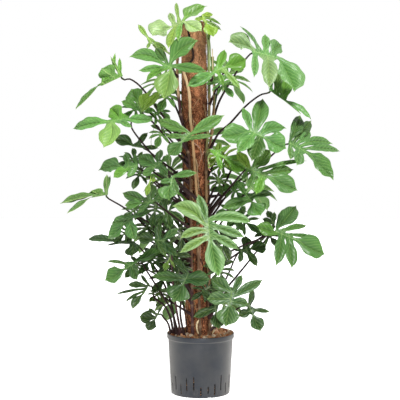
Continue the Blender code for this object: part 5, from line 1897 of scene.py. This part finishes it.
def build_floor():
    """A white floor that glows a little."""
    corners = [(x * FLOOR_HALF, y * FLOOR_HALF, 0) for x, y in ((-1, -1), (1, -1), (1, 1), (-1, 1))]
    skin = Skin("floor_white", 0.9, 0.1)
    cloud = skin.span(skin.noise(3.0, 2.0), 0.3, 0.7)
    paler = mixed(FLOOR_COLOUR, (1, 1, 1), 0.2)
    skin.put(skin.out["Base Color"], skin.mix(cloud, FLOOR_COLOUR, paler))
    skin.put(skin.out["Emission Color"], (1, 1, 1))
    skin.put(skin.out["Emission Strength"], FLOOR_GLOW)
    floor = mesh_piece("floor", corners, [(0, 1, 2, 3)], [skin.made])


def build_surroundings():
    """White as the camera sees them; their light comes more from behind the plant."""
    world = bpy.data.worlds.new("studio")
    bpy.context.scene.world = world
    world.use_nodes = True
    nodes = Nodes(world.node_tree)
    way = nodes.node("ShaderNodeTexCoord", {}, "Generated")
    back = nodes.node("ShaderNodeSeparateXYZ", {0: way}, "Y")
    strength = nodes.node("ShaderNodeMapRange", {
        "Value": back, "From Min": -0.5, "From Max": 0.9,
        "To Min": AMBIENT_FRONT, "To Max": AMBIENT_BACK}, "Result")
    ambient = nodes.node("ShaderNodeBackground", {"Color": (1, 1, 1), "Strength": strength})
    seen = nodes.node("ShaderNodeBackground", {"Color": (1, 1, 1)})
    to_camera = nodes.node("ShaderNodeLightPath", {}, "Is Camera Ray")
    choice = nodes.node("ShaderNodeMixShader", {0: to_camera, 1: ambient, 2: seen})
    nodes.put(world.node_tree.nodes["World Output"].inputs[0], choice)


def add_light(name, kind, power, way):
    """A light that shines along a way."""
    lamp = bpy.data.lights.new(name, kind)
    lamp.energy = power
    made = bpy.data.objects.new(name, lamp)
    made.rotation_euler = way.to_track_quat("-Z", "Y").to_euler()
    bpy.context.scene.collection.objects.link(made)
    return made


def build_lights():
    for name, way_from, power, softness in LIGHTS:
        made = add_light(name, "SUN", power, -Vector(way_from))
        made.data.angle = math.radians(softness)
    made = add_light("low_fill", "SPOT", SPOT_POWER, Vector(SPOT_AIM) - Vector(SPOT_PLACE))
    made.location = SPOT_PLACE
    made.data.spot_size = SPOT_CONE
    made.data.spot_blend = 1.0
    made.data.shadow_soft_size = SPOT_RADIUS


def build_camera():
    lens = bpy.data.cameras.new("photo_camera")
    lens.sensor_width = SENSOR
    lens.lens = SENSOR * FOCAL_PIXELS / FRAME_PIXELS
    lens.shift_x = (FRAME_PIXELS / 2 - AXIS_PIXEL) / FRAME_PIXELS
    made = bpy.data.objects.new("photo_camera", lens)
    made.location = EYE
    made.rotation_euler = (AIM - EYE).to_track_quat("-Z", "Y").to_euler()
    bpy.context.scene.collection.objects.link(made)
    bpy.context.scene.camera = made
    bpy.context.scene.view_settings.view_transform = "Standard"


def main():
    layouts = {row[0]: leaf_layout(row) for row in LEAVES}
    for name, layout in layouts.items():
        build_blade(name, layout, *TONES[name], "leaf_" + name)
    for (name, stem, height, layout), tone in zip(back_leaves(), BACK_TONES):
        build_blade(name, layout, tone, {}, "leaf_" + name)
    for (name, stem, height, layout), row in zip(shade_leaves(), SHADE_LEAVES):
        build_blade(name, layout, row[-1], {})
    build_stems(layouts)
    build_core()
    build_fibres()
    build_granules()
    build_pot()
    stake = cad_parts["pole_stake"]
    stake.material_slots[0].material = wood_skin()
    build_floor()
    build_surroundings()
    build_lights()
    build_camera()
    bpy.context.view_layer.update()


LEAF_PAINTS = [leaf_upper(), leaf_lower()]
main()
